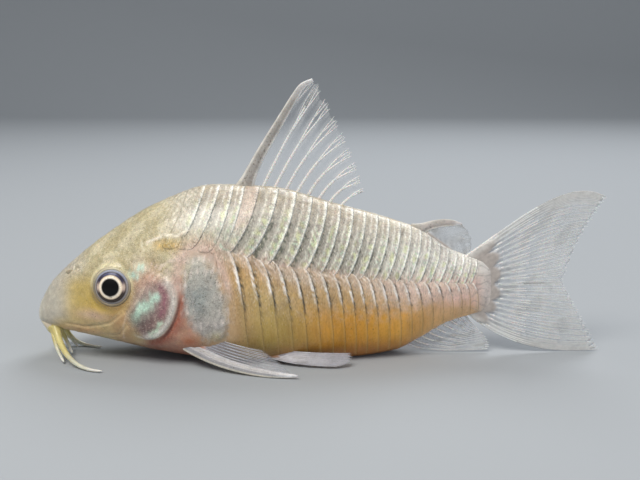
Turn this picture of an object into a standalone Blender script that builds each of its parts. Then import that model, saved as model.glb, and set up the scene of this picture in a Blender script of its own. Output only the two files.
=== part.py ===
"""A corydoras catfish, 75 mm long, as a still life-size model that rests on its belly and fins.

The fish faces -X with its back towards +Z, so its left side is -Y. Sizes are in millimetres.
X is counted from the tip of the snout and Z from the floor, and place() turns both into the
frame of the part: metres, with the origin under the middle of the fish.
"""

import collections
import math

import bmesh
import bpy
import numpy as np
from mathutils import Matrix, Vector

MM = 0.001
TOTAL_LENGTH = 75.0
GAP = 0.3  # what touching pieces keep between them
LEFT, RIGHT = -1, 1

# The body's outline. top and bottom are heights, widest_at is the height of its widest level,
# and above and below say how square the section is there: 2 is an ellipse.
Station = collections.namedtuple("Station", "x top bottom half_width widest_at above below")
STATIONS = (
    Station(0.0, 5.9, 4.7, 0.5, 5.2, 2.0, 2.0),
    Station(0.5, 7.6, 4.2, 1.6, 5.6, 2.0, 2.1),
    Station(1.9, 9.9, 3.8, 2.8, 6.2, 2.0, 2.3),
    Station(4.1, 12.1, 3.4, 3.9, 6.8, 2.0, 2.4),
    Station(9.4, 16.3, 2.4, 5.6, 7.3, 2.0, 2.5),
    Station(16.2, 20.4, 1.0, 7.1, 7.4, 2.0, 2.6),
    Station(23.8, 22.7, -0.1, 7.8, 7.5, 1.95, 2.7),
    Station(31.0, 22.4, -0.45, 7.2, 7.9, 1.9, 2.6),
    Station(39.0, 20.3, -0.4, 6.0, 8.3, 1.9, 2.5),
    Station(47.2, 18.0, 0.5, 4.4, 8.8, 1.9, 2.2),
    Station(50.7, 16.7, 2.2, 3.5, 9.1, 1.9, 2.0),
    Station(53.9, 14.5, 4.1, 2.6, 9.2, 2.0, 2.0),
    Station(56.5, 13.4, 5.0, 1.9, 9.2, 2.0, 2.0),
    Station(60.4, 12.4, 5.8, 0.95, 9.0, 2.0, 2.0),
)
SIDES_AROUND = 32
RINGS_PER_MM = 0.5

# The gill opening slants: it lies further back at the top than at the throat.
GILL_CUT_X, GILL_CUT_Z, GILL_CUT_LEAN = 19.9, 9.0, 0.33
TAIL_CUT_X = 46.6

EYE_X, EYE_Z = 10.6, 10.3
EYE_RADIUS, EYE_HALF_DEPTH, EYE_SUNK = 2.4, 1.8, 1.0
ORBIT_RIM = 0.38
NOSTRIL_X, NOSTRIL_Z, NOSTRIL_RADIUS = 5.7, 11.7, 0.5
NOSTRIL_RIM = 0.18
NOSTRIL_FLAP_X, NOSTRIL_FLAP_Z = 4.7, 11.3

LIP_RADIUS = 0.5
UPPER_LIP = ((2.7, 2.55, 3.1), (1.3, 1.8, 3.9), (0.7, 0.0, 4.3))
LOWER_LIP = ((3.1, 2.3, 3.0), (2.7, 1.5, 3.3), (2.05, 0.0, 3.55))

# A plate on the skin: how far it stands out, and how deep its underside lies in the flesh.
PLATE_RISE, PLATE_DEPTH = 0.32, 0.6
# Each flank has two rows of upright plates that meet at the lateral line in arrowheads. A row
# has so many plates, starts there, and its plates get shorter by a share towards the tail.
# lean is how far a plate's end at the lateral line, or at the belly, lies behind its other end.
ScuteRow = collections.namedtuple("ScuteRow", "above count start pitch shrink lean")
SCUTE_ROWS = (
    ScuteRow(True, 22, 22.5, 2.15, 0.974, -1.3),
    ScuteRow(False, 21, 24.4, 1.95, 0.977, 1.2),
)
SCUTE_SHARES = (0.0, 0.07, 0.36, 0.66, 0.93, 1.0)
# Along the body each plate slopes up from under the one before to a crest, then drops.
SCUTE_PROFILE = ((0.0, -0.15), (1.05, PLATE_RISE), (1.12, -PLATE_DEPTH))
BACK_MARGIN, BELLY_MARGIN = 1.1, 0.9  # what the rows leave free at the back and the belly
# Places the rows meet at, from the shoulder to the tail fin: x and height.
LATERAL_LINE = (
    (20.0, 15.6),
    (26.7, 14.6),
    (30.4, 13.4),
    (35.0, 12.4),
    (40.0, 11.5),
    (46.0, 10.6),
    (60.4, 9.2),
)
# Small plates along the back, between the tail stem's front and the adipose fin.
BACK_PLATES, BACK_PLATES_FROM, BACK_PLATE_PITCH, BACK_PLATE_ANGLE = 3, 47.1, 1.0, 0.38

# Large plates: centre, half length, half width and the slope of the long axis in degrees.
Shield = collections.namedtuple("Shield", "x z half_long half_wide slope")
GILL_COVER = Shield(15.9, 8.0, 4.5, 3.2, 68.0)
SHOULDER = Shield(22.9, 9.0, 5.6, 2.8, 101.0)

MEMBRANE = 0.25  # half the thickness of a fin's skin
EDGE = 0.14  # the same at the free tips
RIDGE = 0.2  # how far a ray stands out of the skin
FORK_AT = 0.6  # where along a ray it splits in two
BARBEL_THICKNESS = {"long": 0.5, "short": 0.42, "chin": 0.36}
BARBEL_TIP = 0.2

DORSAL_RAYS, CAUDAL_RAYS, ANAL_RAYS, PECTORAL_RAYS, PELVIC_RAYS = 8, 7, 7, 6, 6


def place(points):
    """Turns points counted in millimetres from the snout into metres in the part's frame."""
    points = np.asarray(points, float)
    return (points - (TOTAL_LENGTH / 2, 0.0, 0.0)) * MM


def smooth_through(knots, values, at):
    """Reads a smooth curve through the knots that never overshoots them."""
    widths = np.diff(knots)
    slopes = np.diff(values) / widths
    before, after = slopes[:-1], slopes[1:]
    mean = (before * widths[1:] + after * widths[:-1]) / (widths[:-1] + widths[1:])
    least = np.minimum(np.minimum(abs(before), abs(after)), 0.5 * abs(mean))
    inner = (np.sign(before) + np.sign(after)) * least
    tangents = np.concatenate([slopes[:1], inner, slopes[-1:]])
    i = int(np.clip(np.searchsorted(knots, at) - 1, 0, len(widths) - 1))
    t = (at - knots[i]) / widths[i]
    return (
        (1 + 2 * t) * (1 - t) ** 2 * values[i]
        + t * (1 - t) ** 2 * widths[i] * tangents[i]
        + t**2 * (3 - 2 * t) * values[i + 1]
        - t**2 * (1 - t) * widths[i] * tangents[i + 1]
    )


def section(x, lift=0.0):
    """The body's section at x, grown by lift all round. The blunt snout needs the square root."""
    knots = np.sqrt([s.x for s in STATIONS])
    at = math.sqrt(min(max(x, 0.0), STATIONS[-1].x))
    read = [smooth_through(knots, np.array(column), at) for column in list(zip(*STATIONS))[1:]]
    top, bottom, half_width, widest_at, above, below = read
    return Station(x, top + lift, bottom - lift, half_width + lift, widest_at, above, below)


def skin_point(x, angle, lift=0.0):
    """A point on the body: angle 0 is the back, pi the belly, and a positive angle the right side."""
    s = section(x, lift)
    rise = math.cos(angle)
    square = s.above if rise > 0 else s.below
    reach = s.top - s.widest_at if rise > 0 else s.widest_at - s.bottom
    y = s.half_width * math.copysign(abs(math.sin(angle)) ** (2 / square), math.sin(angle))
    z = s.widest_at + math.copysign(reach * abs(rise) ** (2 / square), rise)
    return (x, y, z)


def angle_at(x, z):
    """The angle of the skin at height z, for a point on the right side."""
    s = section(x)
    if z >= s.widest_at:
        share = (z - s.widest_at) / (s.top - s.widest_at)
        return math.acos(min(1.0, share) ** (s.above / 2))
    share = (s.widest_at - z) / (s.widest_at - s.bottom)
    return math.pi - math.acos(min(1.0, share) ** (s.below / 2))


def arc(bends, t):
    """A point on the smooth curve from the first point to the last that the others bend."""
    points = np.asarray(bends, float)
    while len(points) > 1:
        points = points[:-1] + t * (points[1:] - points[:-1])
    return points[0]


def finish(name, colour, roughness, metallic=0.0, alpha=1.0):
    """A plain material of that colour."""
    material = bpy.data.materials.get(name)
    if material is None:
        material = bpy.data.materials.new(name)
        material.use_nodes = True
        shader = material.node_tree.nodes["Principled BSDF"]
        shader.inputs["Base Color"].default_value = (*colour, 1.0)
        shader.inputs["Roughness"].default_value = roughness
        shader.inputs["Metallic"].default_value = metallic
        shader.inputs["Alpha"].default_value = alpha
    return material


def mesh_object(name, points, faces):
    """An object holding these faces, with its normals facing out."""
    mesh = bpy.data.meshes.new(name)
    mesh.from_pydata([tuple(p) for p in place(points)], [], faces)
    work = bmesh.new()
    work.from_mesh(mesh)
    bmesh.ops.recalc_face_normals(work, faces=work.faces)
    work.to_mesh(mesh)
    work.free()
    obj = bpy.data.objects.new(name, mesh)
    bpy.context.scene.collection.objects.link(obj)
    return obj


def lofted(name, rings):
    """A closed solid through rings of as many points each, with a flat cap at either end."""
    around = len(rings[0])
    points = [point for ring in rings for point in ring]
    faces = [tuple(range(around)), tuple(range(len(points) - 1, len(points) - 1 - around, -1))]
    for row in range(len(rings) - 1):
        for j in range(around):
            k = (j + 1) % around
            a, b = row * around, (row + 1) * around
            faces.append((a + j, a + k, b + k, b + j))
    return mesh_object(name, points, faces)


def body_core(name, x_from, x_to, lift=0.0):
    """The smooth body between two stations. Its belly is flat where it lies on the floor."""
    count = max(4, round((x_to - x_from) * RINGS_PER_MM))
    lowest = 0.0 if lift == 0.0 else -GAP
    # Rings stand closer at the blunt snout.
    crowding = 1.6 if x_from < 1.0 else 1.0
    rings = []
    for i in range(count + 1):
        x = x_from + (x_to - x_from) * (i / count) ** crowding
        angles = [2 * math.pi * j / SIDES_AROUND for j in range(SIDES_AROUND)]
        ring = [skin_point(x, angle if angle <= math.pi else angle - 2 * math.pi, lift) for angle in angles]
        rings.append([(px, py, max(pz, lowest)) for px, py, pz in ring])
    if lift:
        # A grown body also reaches past both of its ends.
        rings[0] = [(px - lift, py, pz) for px, py, pz in rings[0]]
        rings[-1] = [(px + lift, py, pz) for px, py, pz in rings[-1]]
    return lofted(name, rings)


def tube(name, path, radii, sides=8):
    """A round bar along a path, as thick as radii say, with its foot flattened on the floor."""
    path = np.asarray(path, float)
    along = np.gradient(path, axis=0)
    along /= np.linalg.norm(along, axis=1)[:, None]
    side = np.cross(along, (0.0, 0.0, 1.0))
    side[np.linalg.norm(side, axis=1) < 1e-3] = (0.0, 1.0, 0.0)
    side /= np.linalg.norm(side, axis=1)[:, None]
    up = np.cross(side, along)
    rings = []
    for centre, sideways, upward, radius in zip(path, side, up, radii):
        angles = [2 * math.pi * j / sides for j in range(sides)]
        ring = [centre + radius * (math.cos(a) * sideways + math.sin(a) * upward) for a in angles]
        rings.append([(p[0], p[1], max(p[2], 0.0)) for p in ring])
    return lofted(name, rings)


def slab_between(name, low, high):
    """A box from one corner to the other."""
    corners = [(x, y, z) for x in (low[0], high[0]) for y in (low[1], high[1]) for z in (low[2], high[2])]
    faces = [(0, 1, 3, 2), (4, 6, 7, 5), (0, 4, 5, 1), (2, 3, 7, 6), (0, 2, 6, 4), (1, 5, 7, 3)]
    return mesh_object(name, corners, faces)


def combine(target, others, operation, solver="EXACT"):
    """Joins or cuts target with the other solids, in one Boolean, and removes them."""
    group = bpy.data.collections.new(target.name + "_pieces")
    for other in others:
        bpy.context.scene.collection.objects.unlink(other)
        group.objects.link(other)
    bpy.context.scene.collection.children.link(group)
    boolean = target.modifiers.new("combine", "BOOLEAN")
    boolean.operation = operation
    boolean.operand_type = "COLLECTION"
    boolean.collection = group
    boolean.solver = solver
    apply_modifiers(target)
    for other in others:
        bpy.data.objects.remove(other)
    bpy.data.collections.remove(group)
    keep_largest(target)
    return target


def apply_modifiers(obj):
    """Replaces the object's mesh by what its modifiers make of it."""
    bpy.context.view_layer.update()
    graph = bpy.context.evaluated_depsgraph_get()
    made = bpy.data.meshes.new_from_object(obj.evaluated_get(graph))
    obj.modifiers.clear()
    obj.data = made


def keep_largest(obj):
    """Leaves only the largest closed surface of a mesh."""
    work = bmesh.new()
    work.from_mesh(obj.data)
    islands = []
    unseen = set(work.verts)
    while unseen:
        island = {unseen.pop()}
        edge = list(island)
        while edge:
            vertex = edge.pop()
            near = {e.other_vert(vertex) for e in vertex.link_edges} & unseen
            unseen -= near
            island |= near
            edge.extend(near)
        islands.append(island)
    islands.sort(key=len)
    for island in islands[:-1]:
        bmesh.ops.delete(work, geom=list(island), context="VERTS")
    work.to_mesh(obj.data)
    work.free()


def cut_by_plane(obj, x, z, lean, keep_front):
    """Keeps what lies in front of, or behind, a slanting plane across the body, and closes it."""
    work = bmesh.new()
    work.from_mesh(obj.data)
    point = place((x, 0.0, z))
    normal = np.array((1.0, 0.0, -lean)) * (1 if keep_front else -1)
    cut = bmesh.ops.bisect_plane(
        work,
        geom=work.verts[:] + work.edges[:] + work.faces[:],
        plane_co=point,
        plane_no=normal,
        clear_outer=True,
    )
    rim = [e for e in cut["geom_cut"] if isinstance(e, bmesh.types.BMEdge)]
    bmesh.ops.contextual_create(work, geom=rim)
    bmesh.ops.recalc_face_normals(work, faces=work.faces)
    work.to_mesh(obj.data)
    work.free()


def finished(obj, material, crease=35.0):
    """Gives a node its material and smooth shading."""
    obj.data.materials.clear()
    obj.data.materials.append(material)
    obj.data.shade_smooth()
    obj.data.set_sharp_from_angle(angle=math.radians(crease))
    return obj


def ellipsoid(name, centre, axis, radius, half_depth, around=16, down=7):
    """A ball of one radius, flattened along an axis."""
    axis = np.asarray(axis, float) / np.linalg.norm(axis)
    side = np.cross(axis, (0.0, 0.0, 1.0))
    side /= np.linalg.norm(side)
    up = np.cross(side, axis)
    points = [np.asarray(centre) - half_depth * axis]
    for i in range(1, down):
        tilt = math.pi * i / down
        for j in range(around):
            turn = 2 * math.pi * j / around
            outward = math.cos(turn) * side + math.sin(turn) * up
            points.append(centre + radius * math.sin(tilt) * outward - half_depth * math.cos(tilt) * axis)
    points.append(np.asarray(centre) + half_depth * axis)
    last = len(points) - 1
    faces = []
    for j in range(around):
        k = (j + 1) % around
        faces.append((0, 1 + j, 1 + k))
        faces.append((last, last - around + k, last - around + j))
        for i in range(down - 2):
            a, b = 1 + i * around, 1 + (i + 1) * around
            faces.append((a + j, b + j, b + k, a + k))
    return mesh_object(name, points, faces)


def surface_frame(x, z, side):
    """A point of the skin at that place on one side, and the direction that points out of it."""
    step = 0.2
    angle = angle_at(x, z) * side
    here = np.array(skin_point(x, angle))
    along = np.array(skin_point(x + step, angle)) - np.array(skin_point(x - step, angle))
    around = np.array(skin_point(x, angle + 0.03)) - np.array(skin_point(x, angle - 0.03))
    normal = np.cross(along, around)
    normal /= np.linalg.norm(normal)
    return here, normal * math.copysign(1.0, normal[1] * side)


def side_name(side):
    return "left" if side == LEFT else "right"


def mirrored(points, side):
    """Points that are given for the left side, on the side that is asked for."""
    return np.asarray(points, float) * (1.0, -side, 1.0)


def sheet_solid(name, columns, halves):
    """A thin closed solid on a grid of points, with half its thickness given at each of them.

    Both faces are split into triangles along the same diagonals, so that they never cross.
    """
    grid, halves = np.asarray(columns, float), np.asarray(halves, float)
    across = np.gradient(grid, axis=0)
    along = np.gradient(grid, axis=1)
    normal = np.cross(along, across)
    normal /= np.linalg.norm(normal, axis=2)[:, :, None]
    wide, long = halves.shape
    front = (grid + normal * halves[:, :, None]).reshape(-1, 3)
    back = (grid - normal * halves[:, :, None]).reshape(-1, 3)
    count = wide * long
    faces = []
    for c in range(wide - 1):
        for r in range(long - 1):
            a, b = c * long + r, (c + 1) * long + r
            for triangle in ((a, b, b + 1), (a, b + 1, a + 1)):
                faces.append(triangle)
                faces.append(tuple(count + i for i in reversed(triangle)))
    rim = [c * long for c in range(wide)]
    rim += [(wide - 1) * long + r for r in range(1, long)]
    rim += [c * long + long - 1 for c in range(wide - 2, -1, -1)]
    rim += [r for r in range(long - 2, 0, -1)]
    for a, b in zip(rim, rim[1:] + rim[:1]):
        faces += [(a, count + a, b), (b, count + a, count + b)]
    points = np.concatenate([front, back])
    points[:, 2] = np.maximum(points[:, 2], 0.0)
    return mesh_object(name, points, faces)


def ray_grid(rays, rows=5, foot=0.17, spread=0.25, scallop=0.05):
    """Columns of points along a fin's rays and between them, and half the thickness at each.

    A ray is one ridge as far as FORK_AT and then two, which drift apart to the fin's edge.
    """
    steps = np.linspace(0.0, 1.0, rows)
    whole = np.array([[arc(ray, t) for t in steps] for ray in rays])
    short = np.array([[arc(ray, t * (1 - scallop)) for t in steps] for ray in rays])
    reach = (foot + (spread - foot) * steps)[:, None]
    stem = np.where(steps <= FORK_AT + 0.03, MEMBRANE + RIDGE, MEMBRANE)
    branch = np.where(steps <= FORK_AT - 0.1, MEMBRANE, MEMBRANE + 0.75 * RIDGE)
    skin = np.full(rows, MEMBRANE)
    for half in (stem, branch, skin):
        half[-1] = EDGE
    columns, halves = [], []
    for i, curve in enumerate(whole):
        before = whole[i - 1] if i else 1.5 * curve - 0.5 * whole[1]
        after = whole[i + 1] if i + 1 < len(whole) else 1.5 * curve - 0.5 * whole[-2]
        columns += [curve + (before - curve) * reach, curve, curve + (after - curve) * reach]
        halves += [branch, stem, branch]
        if i + 1 < len(whole):
            columns.append((short[i] + short[i + 1]) / 2)
            halves.append(skin)
    return columns, halves


def spine_grid(bends, widths, half_thickness, behind, rows=5):
    """Columns for a stiff spine: its two edges and the two shoulders between them.

    widths are read at even steps from root to tip, and behind is the way to the skin it holds.
    """
    steps = np.linspace(0.0, 1.0, rows)
    line = np.array([arc(bends, t) for t in steps])
    along = np.gradient(line, axis=0)
    along /= np.linalg.norm(along, axis=1)[:, None]
    across = np.asarray(behind, float) - (along @ np.asarray(behind, float))[:, None] * along
    across /= np.linalg.norm(across, axis=1)[:, None]
    width = np.interp(steps, np.linspace(0.0, 1.0, len(widths)), widths)[:, None]
    thick = np.interp(steps, (0.0, 1.0), half_thickness)
    thick[-1] = EDGE
    thin = np.minimum(thick, MEMBRANE)
    columns = [line + across * width * share for share in (-0.5, -0.22, 0.22, 0.5)]
    return columns, [thin, thick, thick, thin]


def rays_between(arcs, count):
    """Rays whose roots, bends and tips are spread along arcs of their own."""
    return [[arc(points, share) for points in arcs] for share in np.linspace(0.0, 1.0, count)]


def rooted(piece, x_from, x_to, clear=GAP, others=()):
    """Cuts the sunk root of a fin or barbel off where the body is, less what it keeps clear."""
    return combine(piece, [body_core("clearance", x_from, x_to, clear), *others], "DIFFERENCE")


def dorsal_fin():
    """A stout spine with dark flecks, and the soft rays that it carries like a sail."""
    spine = ((27.7, 0, 21.6), (31.2, 0, 31.2), (36.4, 0, 36.2))
    columns, halves = spine_grid(spine, (2.4, 1.2, 0.95, 0.9, 0.45), (0.62, 0.26), (1, 0, -0.5), rows=7)
    rays = rays_between(
        (
            ((29.7, 0, 21.6), (34.9, 0, 21.0), (39.4, 0, 19.3)),
            ((33.1, 0, 29.2), (37.0, 0, 25.3), (40.9, 0, 21.3)),
            ((37.2, 0, 35.7), (41.9, 0, 27.2), (43.1, 0, 21.8)),
        ),
        DORSAL_RAYS,
    )
    more, more_halves = ray_grid(rays, rows=7)
    fin = sheet_solid("dorsal_fin", columns + more, halves + more_halves)
    return with_origin(rooted(fin, 24.0, 44.0), spine[0])


def adipose_fin():
    """The small fin on the tail stem: a short spine and a flap of skin with no rays."""
    spine = ((50.9, 0, 16.2), (53.0, 0, 18.0), (55.8, 0, 17.4))
    columns, halves = spine_grid(spine, (1.3, 0.8, 0.6, 0.5, 0.4), (0.5, 0.3), (0, 0, -1), rows=5)
    folds = rays_between(
        (
            ((51.6, 0, 14.6), (53.4, 0, 13.4), (55.6, 0, 12.4)),
            ((54.5, 0, 15.6), (55.6, 0, 14.6), (56.4, 0, 13.4)),
            ((57.0, 0, 16.3), (57.5, 0, 15.3), (57.0, 0, 14.0)),
        ),
        3,
    )
    skin = [np.array([arc(fold, t) for t in np.linspace(0, 1, 5)]) for fold in folds]
    thin = np.array([MEMBRANE] * 4 + [EDGE])
    fin = sheet_solid("adipose_fin", columns + skin, halves + [thin] * 3)
    return with_origin(rooted(fin, 47.0, 60.4), (51.6, 0, 14.6))


def caudal_lobe(name, arcs, origin):
    """One lobe of the tail fin, from its strong outer ray to the middle of the fork."""
    columns, halves = ray_grid(rays_between(arcs, CAUDAL_RAYS), rows=7)
    return with_origin(rooted(sheet_solid(name, columns, halves), 52.0, 60.4), origin)


def upper_lobe():
    arcs = (
        ((56.4, 0, 12.4), (58.9, 0, 11.6), (59.2, 0, 9.55)),
        ((62.2, 0, 16.7), (63.8, 0, 13.4), (62.6, 0, 9.7)),
        ((69.7, 0, 24.3), (66.7, 0, 12.6), (66.1, 0, 9.9)),
        ((74.9, 0, 20.9), (71.4, 0, 16.4), (69.6, 0, 10.1)),
    )
    return caudal_lobe("caudal_fin_upper_lobe", arcs, (60.0, 0.0, 11.0))


def lower_lobe():
    arcs = (
        ((56.6, 0, 6.6), (58.9, 0, 6.9), (59.2, 0, 8.75)),
        ((60.4, 0, 2.0), (63.6, 0, 6.2), (62.6, 0, 8.9)),
        ((66.9, 0, -0.6), (68.7, 0, 6.0), (66.1, 0, 9.05)),
        ((74.9, 0, 0.4), (72.5, 0, 4.8), (69.6, 0, 9.3)),
    )
    return caudal_lobe("caudal_fin_lower_lobe", arcs, (60.0, 0.0, 7.0))


def anal_fin():
    """The fin behind the vent, laid back so that its first ray runs along the floor."""
    rays = rays_between(
        (
            ((48.4, 0, 2.2), (52.3, 0, 3.4), (55.8, 0, 6.1)),
            ((49.6, 0, -0.3), (55.0, 0, 1.9), (57.0, 0, 4.6)),
            ((60.2, 0, 0.45), (61.0, 0, 1.2), (58.2, 0, 3.5)),
        ),
        ANAL_RAYS,
    )
    columns, halves = ray_grid(rays, rows=6)
    return with_origin(rooted(sheet_solid("anal_fin", columns, halves), 44.0, 60.4), (49.0, 0.0, 1.5))


def pectoral_fin(side):
    """A stiff spine that runs down to the floor, and the rays that fan out between it and the body."""
    spine = mirrored(((18.9, -5.2, 3.3), (25.4, -9.5, 0.35), (34.4, -11.3, 0.45)), side)
    behind = mirrored((0.25, 0.45, 0.9), side)
    columns, halves = spine_grid(spine, (1.35, 1.3, 1.15, 0.95, 0.5), (0.6, 0.3), behind)
    arcs = (
        ((20.2, -5.4, 3.6), (21.2, -5.7, 4.0), (22.2, -6.0, 4.1)),
        ((26.4, -9.3, 1.5), (27.0, -8.6, 2.6), (26.4, -8.1, 3.2)),
        ((34.0, -10.9, 0.9), (33.0, -9.8, 1.3), (30.2, -8.3, 2.6)),
    )
    rays = rays_between([mirrored(points, side) for points in arcs], PECTORAL_RAYS)
    more, more_halves = ray_grid(rays)
    fin = sheet_solid("pectoral_fin_" + side_name(side), columns + more, halves + more_halves)
    return with_origin(rooted(fin, 14.0, 40.0, GAP + PLATE_RISE), spine[0])


def pelvic_fin(side):
    """A soft fan that lies on the floor beside the belly."""
    arcs = (
        ((30.0, -4.4, 0.9), (30.8, -4.4, 1.2), (31.6, -4.2, 1.6)),
        ((34.0, -7.2, 0.3), (35.6, -6.8, 0.9), (35.6, -6.2, 1.7)),
        ((39.6, -7.3, 0.35), (41.9, -6.9, 0.5), (41.4, -5.8, 1.6)),
    )
    rays = rays_between([mirrored(points, side) for points in arcs], PELVIC_RAYS)
    columns, halves = ray_grid(rays, rows=6)
    fin = sheet_solid("pelvic_fin_" + side_name(side), columns, halves)
    return with_origin(rooted(fin, 24.0, 46.0, GAP + PLATE_RISE), mirrored((30.8, -4.4, 1.2), side))


def lip(name, bends, grow=0.0):
    """A rounded lip across the mouth, given from its right corner to the middle."""
    right = np.array([arc(bends, t) for t in np.linspace(0.0, 1.0, 6)])
    path = np.concatenate([right, mirrored(right[-2::-1], RIGHT)])
    radii = np.full(len(path), LIP_RADIUS + grow)
    radii[0] = radii[-1] = 0.75 * LIP_RADIUS + grow
    return tube(name, path, radii, sides=8)


def barbel(name, bends, thick, side):
    """A tapering feeler from the corner of the mouth or the chin to the floor."""
    bends = mirrored(bends, side)
    points = np.array([arc(bends, t) for t in np.linspace(0.0, 1.0, 9)])
    radii = np.linspace(thick, BARBEL_TIP, 9)
    points[:, 2] = np.maximum(points[:, 2], radii)
    lips = [lip("clear_upper", UPPER_LIP, GAP), lip("clear_lower", LOWER_LIP, GAP)]
    feeler = rooted(tube(name, points, radii, sides=7), 0.0, 16.0, others=lips)
    return with_origin(feeler, bends[0])


def barbels():
    """Two feelers at each corner of the mouth and a small pair on the chin."""
    made = []
    for side in (LEFT, RIGHT):
        here = side_name(side)
        # The long feeler on the right side is bent in under the chin.
        if side == LEFT:
            long = ((3.4, -2.0, 4.0), (4.3, -4.7, 0.7), (6.6, -8.2, 0.1), (10.0, -8.9, 0.3))
            short = ((2.7, -2.0, 4.0), (3.3, -3.2, 1.4), (4.3, -5.3, 0.3))
        else:
            long = ((3.4, -2.0, 4.0), (2.4, -4.2, -0.4), (7.6, -1.7, 0.22))
            short = ((2.5, -2.0, 4.0), (2.5, -3.3, 1.2), (3.0, -4.8, 0.3))
        chin = ((4.0, -0.9, 3.7), (4.2, -1.0, 1.6), (4.6, -1.5, 0.3))
        for kind, bends in (("long", long), ("short", short), ("chin", chin)):
            made.append(barbel(f"barbel_{kind}_{here}", bends, BARBEL_THICKNESS[kind], side))
    return made


def eye(side, grow=0.0):
    """The eyeball, grown by what its socket keeps clear."""
    here, outward = surface_frame(EYE_X, EYE_Z, side)
    centre = here - EYE_SUNK * outward
    ball = ellipsoid("eye_" + side_name(side), centre, outward, EYE_RADIUS + grow, EYE_HALF_DEPTH + grow)
    return with_origin(ball, centre)


def ring_on_skin(name, x, z, radius, thick, side, count):
    """A raised ring of skin round that place on one side."""
    path = []
    for j in range(count):
        turn = 2 * math.pi * j / count
        at_x, at_z = x + radius * math.cos(turn), z + radius * math.sin(turn)
        path.append(skin_point(at_x, angle_at(at_x, at_z) * side))
    path = np.array(path)
    along = np.roll(path, -1, axis=0) - np.roll(path, 1, axis=0)
    along /= np.linalg.norm(along, axis=1)[:, None]
    outward = path - path.mean(axis=0)
    outward -= (outward * along).sum(axis=1)[:, None] * along
    outward /= np.linalg.norm(outward, axis=1)[:, None]
    up = np.cross(along, outward)
    sides = 6
    points, faces = [], []
    for i in range(count):
        for j in range(sides):
            turn = 2 * math.pi * j / sides
            points.append(path[i] + thick * (math.cos(turn) * outward[i] + math.sin(turn) * up[i]))
            a, b, k = i * sides, (i + 1) % count * sides, (j + 1) % sides
            faces.append((a + j, a + k, b + k, b + j))
    return mesh_object(name, points, faces)


def shield_plate(name, shield, side, count=18):
    """A large oval plate on the skin, with a bevelled rim and its underside sunk in the flesh."""
    slope = math.radians(shield.slope)
    levels = ((1.0, -0.12), (0.9, PLATE_RISE - 0.04), (0.5, PLATE_RISE + 0.05))
    rings = []
    for share, lift in (*levels, (0.9, -PLATE_DEPTH)):
        ring = []
        for j in range(count):
            turn = 2 * math.pi * j / count
            long = share * shield.half_long * math.cos(turn)
            wide = share * shield.half_wide * math.sin(turn)
            x = shield.x + long * math.cos(slope) - wide * math.sin(slope)
            z = shield.z + long * math.sin(slope) + wide * math.cos(slope)
            ring.append(skin_point(x, angle_at(x, z) * side, lift))
        rings.append(ring)
    # The loft runs from the middle of the face over the rim to the underside.
    return lofted(name, [rings[2], rings[1], rings[0], rings[3]])


def lateral_line(x):
    """The height of the line along the flank where the two rows of plates meet."""
    knots, heights = np.array(LATERAL_LINE).T
    return smooth_through(knots, heights, min(max(x, knots[0]), knots[-1]))


def scute(side, row, x, pitch):
    """One upright plate of the flank, from the back or the belly to the lateral line."""
    rings = []
    for share in SCUTE_SHARES:
        lean = share**2 if row.above else 1 - (1 - share) ** 2
        here = x + row.lean * lean * pitch
        at = section(here)
        angle = angle_at(here, lateral_line(here))
        if row.above:
            end = math.asin(min(1.0, BACK_MARGIN / at.half_width) ** (at.above / 2))
            angle = end + (angle - end) * share
        else:
            end = angle_at(here, max(at.bottom, 0.0) + BELLY_MARGIN)
            angle = angle + (end - angle) * share
        sunk = 0.15 if share in (0.0, 1.0) else 0.0
        ring = [skin_point(here + ahead * pitch, angle * side, lift - sunk) for ahead, lift in SCUTE_PROFILE]
        rings.append([(px, py, max(pz, 0.0)) for px, py, pz in ring])
    return lofted("scute", rings)


def scutes():
    """All the plates of both flanks, smaller towards the tail."""
    made = []
    for side in (LEFT, RIGHT):
        for row in SCUTE_ROWS:
            x, pitch = row.start, row.pitch
            for _ in range(row.count):
                made.append(scute(side, row, x, pitch))
                x += pitch
                pitch *= row.shrink
    return made


def back_plates():
    """The small plates astride the back in front of the adipose fin, each higher than the last."""
    made = []
    for i in range(BACK_PLATES):
        x = BACK_PLATES_FROM + i * BACK_PLATE_PITCH
        rings = []
        for share in (-1.0, -0.6, 0.0, 0.6, 1.0):
            sunk = 0.3 * abs(share) ** 3
            higher = 0.12 * i
            angle = share * BACK_PLATE_ANGLE
            profile = [(ahead, lift + higher * (lift > 0) - sunk) for ahead, lift in SCUTE_PROFILE]
            rings.append([skin_point(x + ahead * BACK_PLATE_PITCH, angle, lift) for ahead, lift in profile])
        made.append(lofted("back_plate", rings))
    return made


def nostril_flap(side):
    """The small flap of skin that stands up in front of the nostril."""
    here, _ = surface_frame(NOSTRIL_FLAP_X, NOSTRIL_FLAP_Z, side)
    return ellipsoid("nostril_flap", here, (1.0, 0.0, 0.4), 0.5, 0.22, around=8, down=4)


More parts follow.
